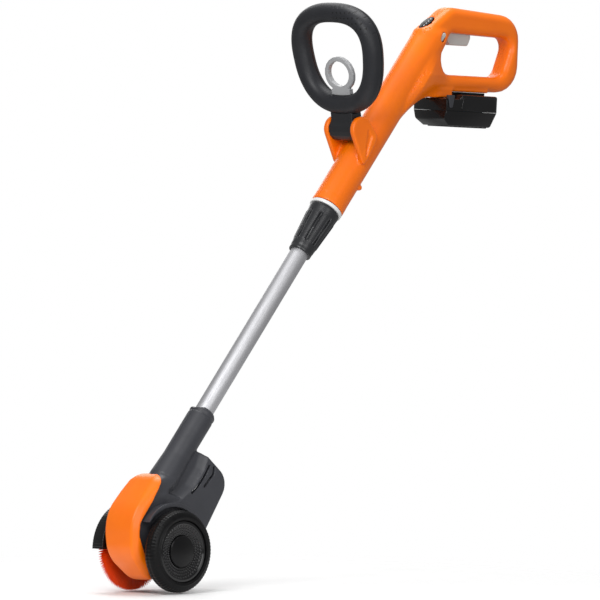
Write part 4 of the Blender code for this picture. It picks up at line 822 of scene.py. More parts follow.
@dataclass(frozen=True)
class MouldedPlastic(Finish):
    """ABS or nylon from a steel mould: faint flow patches and the mould's fine spark grain.

    The spark grain of a real mould is about 0.1 mm. It is drawn a few times coarser so that
    it shows as a soft breaking of the highlights.
    """

    grain: float = 0.7
    depth: float = 0.02
    coat: float = 0.0
    mirror: float = 0.5

    def dress(self, tree: bpy.types.NodeTree, shader: bpy.types.Node, place: bpy.types.NodeSocket) -> None:
        """Add flow patches, grain and a possible polish.

        Args:
            tree: The material's nodes.
            shader: Its shader.
            place: The piece's coordinates.
        """
        self.patch(tree, shader, place, FLOW_PATCH)
        grain = add(tree, "ShaderNodeTexNoise", {}, Vector=place, Scale=1 / (self.grain * MM), Detail=3.0)
        self.relief(tree, shader, grain.outputs[0], self.depth, 0.6)
        plug(tree, shader, IOR=1.53, Specular_IOR_Level=self.mirror, Coat_Weight=self.coat,
             Coat_Roughness=0.15)


@dataclass(frozen=True)
class SoftTouch(Finish):
    """Thermoplastic rubber moulded over a grip, dull, with a field of small dimples near its top, their insides
    painted near black as painted shade.
    """

    pitch: float = 7.0
    above: tuple[float, float] = (128.0, 140.0)
    beside: tuple[float, float] = (-12.0, -6.0)

    def dress(self, tree: bpy.types.NodeTree, shader: bpy.types.Node, place: bpy.types.NodeSocket) -> None:
        """Add the dull grain and the dimples, which lie in the loop's own plane.

        The dimples show high on the loop and towards its near side, as in the photo.

        Args:
            tree: The material's nodes.
            shader: Its shader.
            place: The piece's coordinates.
        """
        self.patch(tree, shader, place, 20)
        turned = add(tree, "ShaderNodeMapping", {"vector_type": "TEXTURE"}, Vector=place,
                     Location=tuple(c * MM for c in LOOP.origin), Rotation=(0, LOOP.lean, 0)).outputs[0]
        axes = add(tree, "ShaderNodeSeparateXYZ", {}, Vector=turned).outputs
        flat = add(tree, "ShaderNodeCombineXYZ", {}, X=axes[1], Y=axes[2]).outputs[0]
        cells = add(tree, "ShaderNodeTexVoronoi", {"voronoi_dimensions": "2D"}, Vector=flat,
                    Scale=1 / (self.pitch * MM), Randomness=0.0).outputs["Distance"]
        dot = add(tree, "ShaderNodeMapRange", {}, Value=cells, From_Min=0.14, From_Max=0.2, To_Min=1,
                  To_Max=0).outputs["Result"]
        high = add(tree, "ShaderNodeMapRange", {}, Value=axes[2], From_Min=self.above[0] * MM,
                   From_Max=self.above[1] * MM).outputs["Result"]
        wide = add(tree, "ShaderNodeMapRange", {}, Value=axes[1], From_Min=self.beside[0] * MM,
                   From_Max=self.beside[1] * MM, To_Min=1, To_Max=0).outputs["Result"]
        shown = add(tree, "ShaderNodeMath", {"operation": "MULTIPLY"}, in_0=high, in_1=wide).outputs[0]
        dimples = add(tree, "ShaderNodeMath", {"operation": "MULTIPLY"}, in_0=dot, in_1=shown).outputs[0]
        grain = add(tree, "ShaderNodeTexNoise", {}, Vector=place, Scale=1 / (0.8 * MM), Detail=3.0).outputs[0]
        height = add(tree, "ShaderNodeMath", {"operation": "MULTIPLY_ADD"}, in_0=dimples, in_1=-6.0,
                     in_2=grain).outputs[0]
        self.relief(tree, shader, height, 0.06, 0.8)
        skin = shader.inputs["Base Color"].links[0].from_socket
        # Painted shade: the dimples' insides are coloured near black, standing for the shadow in each recess
        painted_dimple_shade = add(tree, "ShaderNodeMix", {"data_type": "RGBA"}, in_0=dimples, in_6=skin,
                    in_7=linear("#08080A"))
        plug(tree, shader, Base_Color=painted_dimple_shade.outputs[2], IOR=1.5, Specular_IOR_Level=0.35)


@dataclass(frozen=True)
class DrawnMetal(Finish):
    """Anodised aluminium or plated steel: fine lines along the way it was drawn or turned."""

    lean: float = 0.0
    line: float = 0.5
    stretch: float = 0.02

    def dress(self, tree: bpy.types.NodeTree, shader: bpy.types.Node, place: bpy.types.NodeSocket) -> None:
        """Stretch a noise along the piece for its drawing lines.

        Args:
            tree: The material's nodes.
            shader: Its shader.
            place: The piece's coordinates.
        """
        turned = add(tree, "ShaderNodeMapping", {"vector_type": "TEXTURE"}, Vector=place,
                     Rotation=(0, self.lean, 0)).outputs[0]
        drawn = add(tree, "ShaderNodeMapping", {}, Vector=turned, Scale=(1, 1, self.stretch)).outputs[0]
        lines = add(tree, "ShaderNodeTexNoise", {}, Vector=drawn, Scale=1 / (self.line * MM),
                    Detail=2.0).outputs[0]
        self.vary(tree, shader, lines, 0.35, 0.65)
        self.relief(tree, shader, lines, 0.004, 0.5)
        plug(tree, shader, Metallic=1.0)


@dataclass(frozen=True)
class VulcanisedRubber(Finish):
    """Black tyre rubber with a dusty bloom."""

    def dress(self, tree: bpy.types.NodeTree, shader: bpy.types.Node, place: bpy.types.NodeSocket) -> None:
        """Add the bloom and a fine pitted skin.

        Args:
            tree: The material's nodes.
            shader: Its shader.
            place: The piece's coordinates.
        """
        self.patch(tree, shader, place, 9)
        pits = add(tree, "ShaderNodeTexVoronoi", {}, Vector=place, Scale=1 / (1.1 * MM)).outputs["Distance"]
        self.relief(tree, shader, pits, 0.03, 0.5)
        plug(tree, shader, IOR=1.52, Specular_IOR_Level=0.16)


@dataclass(frozen=True)
class NylonBristle(Finish):
    """Extruded nylon bristle, deep at the hub and paler at the tips: a painted glow that stands for the light
    passing through them.
    """

    def dress(self, tree: bpy.types.NodeTree, shader: bpy.types.Node, place: bpy.types.NodeSocket) -> None:
        """Grade the colour by distance from the axle, as painted light brighter towards the tips, and streak it.

        Args:
            tree: The material's nodes.
            shader: Its shader.
            place: The piece's coordinates.
        """
        middle = tuple(c * MM for c in AXLE.origin)
        centred = add(tree, "ShaderNodeMapping", {"vector_type": "TEXTURE"}, Vector=place,
                      Location=middle).outputs[0]
        axes = add(tree, "ShaderNodeSeparateXYZ", {}, Vector=centred).outputs
        flat = add(tree, "ShaderNodeCombineXYZ", {}, X=axes[0], Y=axes[2]).outputs[0]
        reach = add(tree, "ShaderNodeVectorMath", {"operation": "LENGTH"}, in_0=flat).outputs["Value"]
        streak = add(tree, "ShaderNodeTexNoise", {}, Vector=place, Scale=1 / (2.2 * MM),
                     Detail=2.0).outputs[0]
        # Painted light: the colour brightens towards the tips to stand for light shining through the bristles
        painted_tip_glow = add(tree, "ShaderNodeMapRange", {}, Value=reach, From_Min=30 * MM, From_Max=57 * MM,
                       To_Max=0.8).outputs["Result"]
        both = add(tree, "ShaderNodeMath", {"operation": "MULTIPLY_ADD", "use_clamp": True}, in_0=streak,
                   in_1=0.35, in_2=painted_tip_glow).outputs[0]
        self.blend(tree, shader, both)
        plug(tree, shader, Roughness=self.roughness, Specular_IOR_Level=0.2, IOR=1.53, Subsurface_Weight=0.05,
             Subsurface_Radius=(0.002, 0.0008, 0.0004), Subsurface_Scale=1.0)


@dataclass(frozen=True)
class CircuitBoard(Finish):
    """Fibreglass board with solder mask and fine copper tracks under it."""

    def dress(self, tree: bpy.types.NodeTree, shader: bpy.types.Node, place: bpy.types.NodeSocket) -> None:
        """Draw the tracks as narrow steps of a wave.

        Args:
            tree: The material's nodes.
            shader: Its shader.
            place: The piece's coordinates.
        """
        wave = add(tree, "ShaderNodeTexWave", {"wave_type": "BANDS", "bands_direction": "X"}, Vector=place,
                   Scale=1 / (9 * MM), Distortion=6.0, Detail=0.0).outputs[0]
        track = add(tree, "ShaderNodeMapRange", {}, Value=wave, From_Min=0.6, From_Max=0.7).outputs["Result"]
        self.blend(tree, shader, track)
        self.relief(tree, shader, track, 0.03, 0.6)
        plug(tree, shader, Roughness=self.roughness)


# ABS from a polished mould: an even, strong colour with soft highlights along its rounded edges
ORANGE = MouldedPlastic("abs_orange_polished_mould", "#FF7900", "#FA7300", roughness=0.38, spread=0.05,
                        grain=0.9, depth=0.004, coat=0.12, mirror=0.35)
# Glass-filled nylon from a spark-eroded mould: a dull dark grey that scatters the light widely
DARK_SHELL = MouldedPlastic("nylon_dark_grey_spark_eroded", "#3B3C41", "#34353A", roughness=0.44,
                            mirror=0.4)
# The same nylon, darker and from a finer mould: its grooves and beads catch small bright lines
COLLAR_NYLON = MouldedPlastic("nylon_charcoal_fine_mould", "#242528", "#1F2023", roughness=0.34,
                              depth=0.015)
# Polished black polypropylene: nearly black, with a sharp glint on each raised dot
HUB_GLOSS = MouldedPlastic("pp_black_polished_wheel", "#060607", "#08080A", roughness=0.14, spread=0.04,
                           grain=0.9, depth=0.004, mirror=0.4)
# Charcoal nylon from a spark-eroded mould: dark and dull beside the softer grip
DARK_TRIM = MouldedPlastic("nylon_charcoal_spark_eroded", "#202124", "#1B1C1F", roughness=0.38,
                           mirror=0.35)
# Black ABS from a polished mould, waxed: dark faces with bright, fairly sharp edges
BLACK_GLOSS = MouldedPlastic("abs_black_polished_mould", "#0A0A0B", "#0D0D0F", roughness=0.2, spread=0.05,
                             grain=0.9, depth=0.008, coat=0.2, mirror=0.25)
# Black ABS from a fine mould: dark, with a wide weak sheen
BLACK_MATT = MouldedPlastic("abs_black_fine_mould", "#070708", "#0A0A0B", roughness=0.34, grain=0.8,
                            depth=0.015, mirror=0.2)
# Light grey ABS, as moulded: pale and satin, so that the trigger stands out in the hand hole
LIGHT_GREY = MouldedPlastic("abs_light_grey_moulded", "#C2BFBB", "#BAB7B3", roughness=0.38, grain=0.8,
                            depth=0.015)
# Grey acetal, as moulded: smooth and slightly waxy
RING_GREY = MouldedPlastic("acetal_grey_moulded", "#A9AAAB", "#A0A1A3", roughness=0.34, spread=0.05,
                           grain=0.8, depth=0.015)
# White acetal, as moulded: a clean bright line between collar and housing
WHITE_RING = MouldedPlastic("acetal_white_moulded", "#EFEFEF", "#E7E7E6", roughness=0.35, spread=0.05,
                            grain=0.8, depth=0.01)
# Soft-touch rubber: nearly black and dull, with dimples whose insides are painted near black as painted shade
SOFT_GRIP = SoftTouch("rubber_soft_touch_moulded", "#26272B", "#202125", roughness=0.48)
# Anodised drawn aluminium: a broad pale streak along the tube, broken by fine lines
TUBE_METAL = DrawnMetal("aluminium_tube_anodised", "#CBCBCE", "#BBBBBE", roughness=0.56, spread=0.05,
                        lean=SHAFT_LEAN)
# Turned and zinc-plated steel: bright, with small sharp reflections
TURNED_STEEL = DrawnMetal("steel_turned_zinc_plated", "#C6C6C4", "#AFAFAE", roughness=0.3, line=0.4,
                          stretch=1.0)
# Vulcanised tyre rubber: black with a grey bloom and hardly any reflection
TYRE = VulcanisedRubber("rubber_tyre_vulcanised", "#060607", "#0A0A0B", roughness=0.42, spread=0.08)
# Extruded nylon bristle: deep red-orange at the hub and brighter at the tips, the brightening a painted glow of
# light passing through
BRISTLE = NylonBristle("nylon_bristle_extruded", "#C83000", "#F84E04", roughness=0.5)
# Solder mask over copper: dark green with paler tracks
BOARD = CircuitBoard("board_green_soldered", "#145C2E", "#2C8A48", roughness=0.35)
# Shrunk film round the cells: plain blue with a soft shine
CELL_SLEEVE = MouldedPlastic("film_blue_shrunk_on_cells", "#2B6FA8", "#2565A0", roughness=0.3, spread=0.05,
                             grain=2.0, depth=0.01)
# Diffusing lens of an unlit lamp: milky white
LED_WHITE = MouldedPlastic("lens_white_diffuse", "#E8ECEF", "#DDE3E8", roughness=0.25, spread=0.04,
                           grain=0.8, depth=0.005)


# Dressing

BODY_OF = {node: body for body, nodes in frame["record"]["behaviour"]["bodies"].items() for node in nodes}


@dataclass
class Assembly:
    """A group of pieces that are made and dressed together."""

    def put(self, obj: bpy.types.Object, finish: Finish, node: str, *more: str, instead: bool = True) -> None:
        """Finish a piece and tie it to the frame.

        Args:
            obj: The piece.
            finish: Its finish.
            node: The frame node that it stands for, or that carries it.
            more: Further nodes that it stands for.
            instead: Whether it stands for the nodes, so that they are hidden.
        """
        obj.data.materials.clear()
        obj.data.materials.append(finish.material())
        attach(obj, BODY_OF[node])
        if instead:
            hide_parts(node, *more)
        LOG.info("%s: %s, %d faces", type(self).__name__, obj.name, len(obj.data.polygons))

    def keep(self, finish: Finish, *nodes: str) -> None:
        """Finish frame nodes whose own shape is right.

        Args:
            finish: Their finish.
            nodes: The nodes, which stay as they are.
        """
        for node in nodes:
            obj = frame["nodes"][node]
            obj.data.materials.clear()
            obj.data.materials.append(finish.material())
            LOG.info("%s: %s kept", type(self).__name__, node)

    def build(self) -> None:
        """Make and dress the pieces."""
        raise NotImplementedError


@dataclass
class Screws(Assembly):
    """Thread-forming screws that hold the mouldings together."""

    head: float = 3.1
    star: float = 1.45
    core: float = 1.28
    pitch: float = 1.3
    reach: float = 22.0

    def screw(self, node: str, place: Place, x: float, z: float, seat: float) -> None:
        """Make one screw, its head towards +Y, with a six-lobed recess.

        Inside the recess the radius is star + 0.28 cos(6a); the shank's radius waves with the
        height for its thread.

        Args:
            node: The screw's frame node.
            place: The axes that it is placed in.
            x: Its local x.
            z: Its local z.
            seat: The y that its head sits on.
        """
        angles = sweep_angles(48)
        lobes = self.star + 0.28 * np.cos(6 * angles)
        one = np.ones_like(angles)
        head = [(0 * one, 0.9), (0.96 * lobes, 0.9), (lobes, 2.35), (1.12 * lobes, 2.4), (2.4 * one, 2.4),
                (self.head * 0.93 * one, 2.1), (self.head * one, 1.5), (self.head * one, 0.1), (1.5 * one, 0)]
        turns = np.linspace(-1, -self.reach + 2, 90)
        thread = [((self.core + 0.25 * math.cos(2 * math.pi * h / self.pitch)) * one, h) for h in turns]
        rows = head + thread + [(0.5 * one, -self.reach + 0.3), (0 * one, -self.reach)]
        radius = np.stack([r for r, _ in rows])
        height = seat + np.array([h for _, h in rows])
        grid = round_about(radius, height, angles, Turn.ACROSS) + np.array([x, 0, z])
        self.put(surface(f"{node}_torx", grid, place), TURNED_STEEL, node)

    def build(self) -> None:
        """Make the screws of handle and head."""
        for i, (x, z) in enumerate(HANDLE_SCREWS):
            self.screw(f"handle_screw_{i + 1}", GRIP, x, z, HANDLE_SCREW_SEAT)
        for i, (x, z) in enumerate(HEAD_SCREWS):
            self.screw(f"head_screw_{i + 1}", SHAFT, x, z, HEAD_SCREW_SEAT)


@dataclass
class Tube(Assembly):
    """The aluminium tube, the twist collar and what it clamps."""

    tube: tuple[float, float] = (12.5, 11.0)
    reach: tuple[float, float] = (142.0, 640.0)
    collar: tuple[float, float] = (464.0, 536.0)
    ring: tuple[float, float] = (536.3, 540.9)
    ring_radii: tuple[float, float] = (17.3, 22.9)
    flutes: int = 8
    groove_half: float = 1.3
    groove_depth: float = 1.9
    bead_aside: float = 2.3
    bead_half: float = 0.55
    bead_height: float = 0.7

    def build(self) -> None:
        """Make tube, collar and white ring."""
        self.make_tube()
        self.make_collar()
        self.make_ring()
        self.keep(LIGHT_GREY, "tube_collet")
        self.keep(BLACK_MATT, "guide_sleeve")

    def make_tube(self) -> None:
        """Turn the tube's wall about the shaft, its rims broken by 0.3 mm."""
        outer, inner = self.tube
        low, high = self.reach
        wall = filleted([(outer, low, 0.3), (outer, high, 0.3), (inner, high, 0.3), (inner, low, 0.3)],
                        steps=2)
        grid = round_about(wall[:, 0], wall[:, 1], sweep_angles(96), Turn.ALONG)
        self.put(surface("tube_drawn", grid, SHAFT, (True, True)), TUBE_METAL, "lower_tube")

    def make_collar(self) -> None:
        """Turn the collar: its radius drops into a long groove at each flute, with a bead on each side.

        With the arc measured from a flute's middle, the groove is a flat-bottomed dip where the
        arc is under groove_half, and each bead is a narrow bell beside it. Between grooves the
        radius swells by 0.2 mm. The groove's floor keeps 0.4 mm of wall over the cone inside,
        which is the collet's with a gap round it.
        """
        low, high = self.collar
        foot = low + np.array([0, 0.3, 1.0, 3.0, 5.0, 6.5, 8.0, 9.5])
        head = high - np.array([7.5, 6, 4, 2, 1.0, 0.3, 0])
        z = np.concatenate([foot, np.linspace(low + 11, high - 9, 110), head])
        shape = np.interp(z - low, [0, 0.3, 1.0, 5.0, 8.0, 20, 62, 70, 71, 72],
                          [14.9, 15.7, 16.0, 16.0, 16.5, 17.4, 20.7, 21.45, 21.2, 20.6])
        angles = sweep_angles(320)
        across = (angles[None, :] * self.flutes / (2 * math.pi) + 0.5) % 1 - 0.5
        arc = across * 2 * math.pi / self.flutes * shape[:, None]
        along = np.clip((z - low - 13) / 4, 0, 1) * np.clip((high - 11 - z) / 4, 0, 1)
        along = along * along * (3 - 2 * along)
        dip = 1 / (1 + np.exp((np.abs(arc) - self.groove_half) * 8)) * along[:, None]
        bead = np.exp(-((np.abs(arc) - self.bead_aside) / self.bead_half) ** 2) * along[:, None]
        swell = 0.2 * np.cos(2 * math.pi * across) * along[:, None]
        outer = shape[:, None] - self.groove_depth * dip + self.bead_height * bead - 0.2 - swell * 0.9
        inner = np.array([[17.35, high], [17.35, low + 35.5], [14.1, low + 15.2], [12.9, low + 15],
                          [12.9, low]])
        outer = np.maximum(outer, np.interp(z, inner[::-1, 1], inner[::-1, 0])[:, None] + 0.4)
        radius = np.vstack([outer, np.repeat(inner[:, :1], angles.size, 1)])
        height = np.concatenate([z, inner[:, 1]])
        grid = round_about(radius, height, angles, Turn.ALONG)
        self.put(surface("collar_grip", grid, SHAFT, (True, True)), COLLAR_NYLON, "clamp_collar")

    def make_ring(self) -> None:
        """Turn the white ring between collar and housing."""
        low, high = self.ring
        inner, outer = self.ring_radii
        wall = filleted([(inner, low, 0.3), (outer, low, 0.7), (outer, high, 0.7), (inner, high, 0.3)],
                        steps=5)
        grid = round_about(wall[:, 0], wall[:, 1], sweep_angles(120), Turn.ALONG)
        self.put(surface("ring_white", grid, SHAFT, (True, True)), WHITE_RING, "seal_ring")


@dataclass
class Housing(Assembly):
    """The orange clamshell: barrel, D-handle, clevis ears and foot, flowing into each other."""

    step: float = 1.25
    radius: float = 22.75
    low: float = 541.7
    high: float = 826.6
    wall: float = 2.8
    grip_half: float = 16.0
    flow: float = 26.0
    bore: float = 19.7
    tongue: tuple[float, float] = (16.2, 21.3)
    nub: tuple[float, float, float] = (17.2, -15.6, 590.0)
    grip_corners: tuple[Corner, ...] = ((0, 30, 0), (5, 44, 6), (50, 76.5, 26), (182.5, 67.5, 34),
                                        (184, -33.5, 36), (20, -37, 0), (-30, -44, 0))
    hole_corners: tuple[Corner, ...] = ((14.5, -14, 21), (55, 41.5, 8), (171, 38.5, 13), (152, -14, 18))
    foot_corners: tuple[Corner, ...] = ((-30, -46, 0), (-30, -34, 0), (60, -33, 0), (60, -44.5, 2))
    saddle_corners: tuple[Corner, ...] = ((55, -35.9, 0), (127, -35.9, 0), (127, -26, 0), (55, -26, 0))
    trigger_corners: tuple[Corner, ...] = ((51.4, 20, 0), (99.5, 20, 0), (99.5, 46, 0), (51.4, 46, 0))
    contact_corners: tuple[Corner, ...] = ((47.7, -47, 0), (64, -47, 0), (64, -34, 0), (47.7, -34, 0))
    pivot: tuple[float, float] = (-38.0, 645.0)

    def build(self) -> None:
        """Work out the housing's field once and wrap each half of it."""
        block = Volume((-12, -34, 428), (366, 34, 778), self.step)
        values = self.outside(block)
        values = np.maximum(values, -(values + self.wall))
        values = np.maximum(values, -self.openings(block))
        whole = block.skin("housing", values, passes=5)
        for side in Side:
            name = side.name.lower()
            self.put(halved(whole, f"housing_{name}", side), ORANGE, f"handle_shell_{name}")
        bpy.data.objects.remove(whole)

    def outside(self, block: Volume) -> np.ndarray:
        """Return the outer surface's field: bodies joined with wide fillets, less the hand hole.

        Args:
            block: The sample points.

        Returns:
            The field.
        """
        u, s = block.seen(SHAFT)
        a, b = block.seen(GRIP)
        y = block.y
        around = np.hypot(u, y)
        barrel = np.hypot(around, np.maximum(s - self.high, 0)) - self.radius
        band = kept(around - self.radius - 0.25, s - (self.low + 12), 0.3)
        barrel = np.minimum(barrel, band)
        barrel = np.maximum(barrel, self.low - s)
        grip = kept(outline_distance(filleted(self.grip_corners), a, b), np.abs(y) - self.grip_half, 11.5)
        below = np.clip((14 - b) / 30, 0, 1) * np.clip(u / 12, 0, 1)
        body = joined(barrel, grip, 2.5 + 9 * np.clip((u + 8) / 14, 0, 1) + self.flow * below)
        foot = kept(outline_distance(filleted(self.foot_corners), a, b), np.abs(y) - 14.5, 1.5)
        body = joined(body, foot, 5)
        body = joined(body, kept(outline_distance(filleted(self.saddle_corners), a, b), np.abs(y) - 14, 1), 1)
        hole = outline_distance(filleted(self.hole_corners), a, b)
        body = kept(body, -hole, 9.5)
        body = joined(body, self.ears(block), 3.5)
        nub = np.sqrt((u - self.nub[0]) ** 2 + (y - self.nub[1]) ** 2 + (s - self.nub[2]) ** 2) - 4.0
        return joined(body, nub, 0.8)

    def ears(self, block: Volume) -> np.ndarray:
        """Return the clevis ears' field: leaf-shaped lobes with a slanted recess outside.

        Args:
            block: The sample points.

        Returns:
            The field.
        """
        u, s = block.seen(SHAFT)
        x, z = self.pivot
        across = np.abs(block.y)
        leaf = outline_distance(hull([(x, z, 17.5), (-16, z + 5, 8), (-8, z - 29, 4)]), u, s)
        lobe = kept(leaf, np.abs(across - 25.05) - 3.75, 1.6)
        root = outline_distance(hull([(-13, z, 6), (-10, z - 22, 5)]), u, s)
        lobe = joined(lobe, kept(root, np.abs(across - 19) - 8.5, 2), 4)
        facet = np.array([(x + 9, z + 7), (x + 20, z + 4), (-8, z - 26), (x + 21, z - 14)], float)
        recess = kept(outline_distance(facet, u, s), 27.2 - across, 0.2)
        return np.maximum(lobe, -recess)

    def openings(self, block: Volume) -> np.ndarray:
        """Return the field of what is open.

        That is the bore, the tongue's slot, the trigger's and the lock-off's openings, the
        indicator's seat, the contacts' window and the screws' wells.

        Args:
            block: The sample points.

        Returns:
            The field.
        """
        u, s = block.seen(SHAFT)
        a, b = block.seen(GRIP)
        across = np.abs(block.y)
        bore = np.maximum(np.hypot(u, block.y) - self.bore, s - (self.low + 8))
        x, z = self.pivot
        tongue = np.maximum(np.hypot(u - x, s - z) - self.tongue[0], across - self.tongue[1])
        trigger = np.maximum(outline_distance(filleted(self.trigger_corners), a, b), across - 6.3)
        lock = outline_distance(hull([(5, 834, 3.4), (5, 842, 3.4)]), u, s) + 0 * across
        along, up = block.seen(INDICATOR)
        seat = np.maximum((np.hypot(along / 13.8, block.y / 7.8) - 1) * 7.8, np.abs(up) - 6)
        contacts = np.maximum(outline_distance(filleted(self.contact_corners), a, b), across - 11.4)
        parts = [bore, tongue, trigger, lock, seat, contacts]
        for x, z in HANDLE_SCREWS:
            parts.append(np.maximum(np.hypot(a - x, b - z) - SCREW_WELL, HANDLE_SCREW_SEAT - block.y))
        return np.minimum.reduce(np.broadcast_arrays(*parts))


@dataclass
class Controls(Assembly):
    """Trigger, lock-off button, charge indicator and what is behind them."""

    lamps: int = 4
    lamp_pitch: float = 5.0
    lamp_radius: float = 1.15
    lamp_aside: float = -2.2

    def build(self) -> None:
        """Make the trigger, the lock-off and the indicator, and finish the inner pieces."""
        self.put(remoulded("trigger", "trigger_lever", 0.5, 4), LIGHT_GREY, "trigger")
        self.put(remoulded("lock_off_button", "lock_off_slider", 0.45, 3), LIGHT_GREY, "lock_off_button")
        self.put(edged("indicator_lens", "indicator_window", 0.5), BLACK_MATT, "indicator_lens")
        self.make_lamps()
        self.keep(BLACK_MATT, "switch_body", "terminal_block", "battery_rail")
        self.keep(BOARD, "control_board")
        self.keep(TURNED_STEEL, "trigger_pin", "trigger_spring")

    def make_lamps(self) -> None:
        """Set a row of small lamps in the indicator, each a low dome whose height follows a sine."""
        t = np.linspace(0, math.pi / 2, 6)
        dome = round_about(self.lamp_radius * np.cos(t), 0.6 + 0.45 * np.sin(t), sweep_angles(20), Turn.ALONG)
        for i in range(self.lamps):
            along = (i - (self.lamps - 1) / 2) * self.lamp_pitch
            lamp = surface(f"indicator_lamp_{i + 1}", dome + np.array([along, self.lamp_aside, 0]), INDICATOR)
            self.put(lamp, LED_WHITE, "indicator_lens", instead=False)


@dataclass
class LoopHandle(Assembly):
    """The tilting loop handle, its pivot and its release ring."""

    centre: float = 96.0
    half_width: float = 69.9
    half_height: float = 62.2
    squareness: float = 2.5
    taper: float = 0.12
    depth: float = 14.5
    bar: float = 13.0
    roundness: float = 0.94
    seam: float = 3.0
    seam_step: float = 0.45
    ring_foot: float = 52.0

    def path(self, count: int) -> tuple[np.ndarray, np.ndarray]:
        """Work out the loop's middle line, a rounded oval that widens upwards.

        It goes by |cos| to the power of 2/n across and |sin| to the power of 2/n up.

        Args:
            count: Points wanted.

        Returns:
            The line's points and its outward directions, as (y, z) rows.
        """
        t = 2 * math.pi * (np.arange(count) + 0.5) / count
        power = 2 / self.squareness
        across = np.sign(np.cos(t)) * np.abs(np.cos(t)) ** power
        upward = np.sign(np.sin(t)) * np.abs(np.sin(t)) ** power
        width = self.half_width * (1 + self.taper * upward) / (1 + self.taper / 2)
        line = even(np.stack([width * across, self.centre + self.half_height * upward], 1), count, True)
        along = np.roll(line, -1, 0) - np.roll(line, 1, 0)
        along = along / np.linalg.norm(along, axis=1, keepdims=True)
        return line, np.stack([along[:, 1], -along[:, 0]], 1)

    def bar_surface(self, name: str, section: np.ndarray) -> bpy.types.Object:
        """Carry a closed section round the loop.

        Args:
            name: The piece's name.
            section: The section's points, as (x, outward) rows.

        Returns:
            The piece.
        """
        line, outward = self.path(288)
        x = np.broadcast_to(section[None, :, 0], (len(line), len(section)))
        yz = line[:, None, :] + outward[:, None, :] * section[None, :, 1, None]
        grid = np.stack([x, yz[..., 0], yz[..., 1]], -1)
        return surface(name, grid, LOOP, (True, True), 35)

    def section(self, start: float, end: float) -> np.ndarray:
        """Work out part of the bar's oval, its cut face stepped in a little for a seam line.

        Args:
            start: The angle in degrees at which it starts, from the back.
            end: The angle at which it ends.

        Returns:
            The section's points, as (x, outward) rows.
        """
        t = np.radians(np.linspace(start, end, 45))
        x = self.depth * np.sign(np.cos(t)) * np.abs(np.cos(t)) ** self.roundness
        out = self.bar * np.sign(np.sin(t)) * np.abs(np.sin(t)) ** self.roundness
        oval = np.stack([x, out], 1)
        shift = self.seam_step * np.sign(oval[0][0] - oval[len(oval) // 2][0])
        rims = oval[[0, -1]] * np.array([1, 0.93]) + np.array([shift, 0])
        return np.vstack([rims[0], oval, rims[1]])

    def build(self) -> None:
        """Make both shells of the bar, the tongue, the pin and the release ring."""
        edge = math.degrees(math.acos(self.seam / self.depth))
        front = self.bar_surface("loop_grip_front", self.section(edge + 1.5, 358.5 - edge))
        self.put(front, SOFT_GRIP, "loop_front_grip")
        rear = self.bar_surface("loop_shell_rear", self.section(-edge + 3.4, edge - 3.4))
        self.put(rear, DARK_TRIM, "loop_rear_shell")
        over = np.array([(-40, 37), (40, 37), (40, 200), (-40, 200)], float)
        lid = plate("tongue_cut", over, -100, 100, 0.1, LOOP)
        self.put(remoulded("loop_rear_shell", "loop_tongue", 0.7, 4, [lid]), DARK_TRIM, "loop_rear_shell")
        pull = remoulded("release_ring", "release_pull", 0.5, 4)
        reshape(pull, LOOP, self.widen)
        self.put(pull, RING_GREY, "release_ring")
        self.keep(TURNED_STEEL, "pivot_pin", "release_spring")

    def widen(self, local: np.ndarray) -> None:
        """Widen the ring above the bar by 9 % and lift it by 3 % of its height over the bar.

        Args:
            local: The ring's points, changed in place.
        """
        over = np.clip(local[:, 2] - self.ring_foot, 0, None)
        local[:, 1] *= 1 + 0.09 * np.clip(over / 10, 0, 1)
        local[:, 2] += 0.03 * over


def far_reach(z: np.ndarray) -> np.ndarray:
    """Return how far the hood reaches to the brush side at some heights over the axle."""
    return np.interp(z, [-45, -36, -16, 6, 21, 41, 60, 77, 92, 98, 103],
                     [8, 14.5, 25, 29.5, 31.7, 32, 33, 33.8, 32, 27, 19]).astype(np.float32)


def hood_envelope(block: Volume) -> np.ndarray:
    """Return the hood's outer form as if it were solid.

    A front outline runs across with a crown that sags by 1.3 mm to both sides. A slant joins
    the crown to the flat near wall, and the far side follows far_reach.

    Args:
        block: The sample points.

    Returns:
        The field.
    """
    a, b = block.seen(AXLE)
    y = block.y
    corners = ((200, 101.5, 0), (-9.5, 101.5, 30), (-60.8, 48.5, 55), (-60.8, -5, 40), (-32, -38, 24),
               (0, -40, 20), (200, -40, 0))
    side = outline_distance(filleted(corners, steps=12), a, b)
    crown = side + 1.3 * ((y - 4) / 28) ** 2
    deep, wide = 10.5, 6.8
    flat = -y - np.interp(b, [80, 90, 96, 101, 104], [25.8, 25.5, 24.3, 22, 18]).astype(np.float32)
    sloped = ((side + deep) * wide + flat * deep) / math.hypot(wide, deep)
    edge = 1.8 + 5 * np.clip((b - 62) / 26, 0, 1)
    return kept(kept(crown, kept(sloped, flat, 2), edge), y - far_reach(b), 2.5 + edge / 2)


def neck_root(block: Volume, envelope: np.ndarray) -> np.ndarray:
    """Return the field of the dark block that fills the hood behind its rim, in front of the neck.

    Args:
        block: The sample points.
        envelope: The hood's field.

    Returns:
        The field.
    """
    _, b = block.seen(AXLE)
    u, _ = block.seen(SHAFT)
    sides = np.maximum(np.abs(block.y) - 21, np.maximum(-u - 20.5, np.maximum(u - 2, 40 - b)))
    return kept(envelope + 3.4, sides, 3)


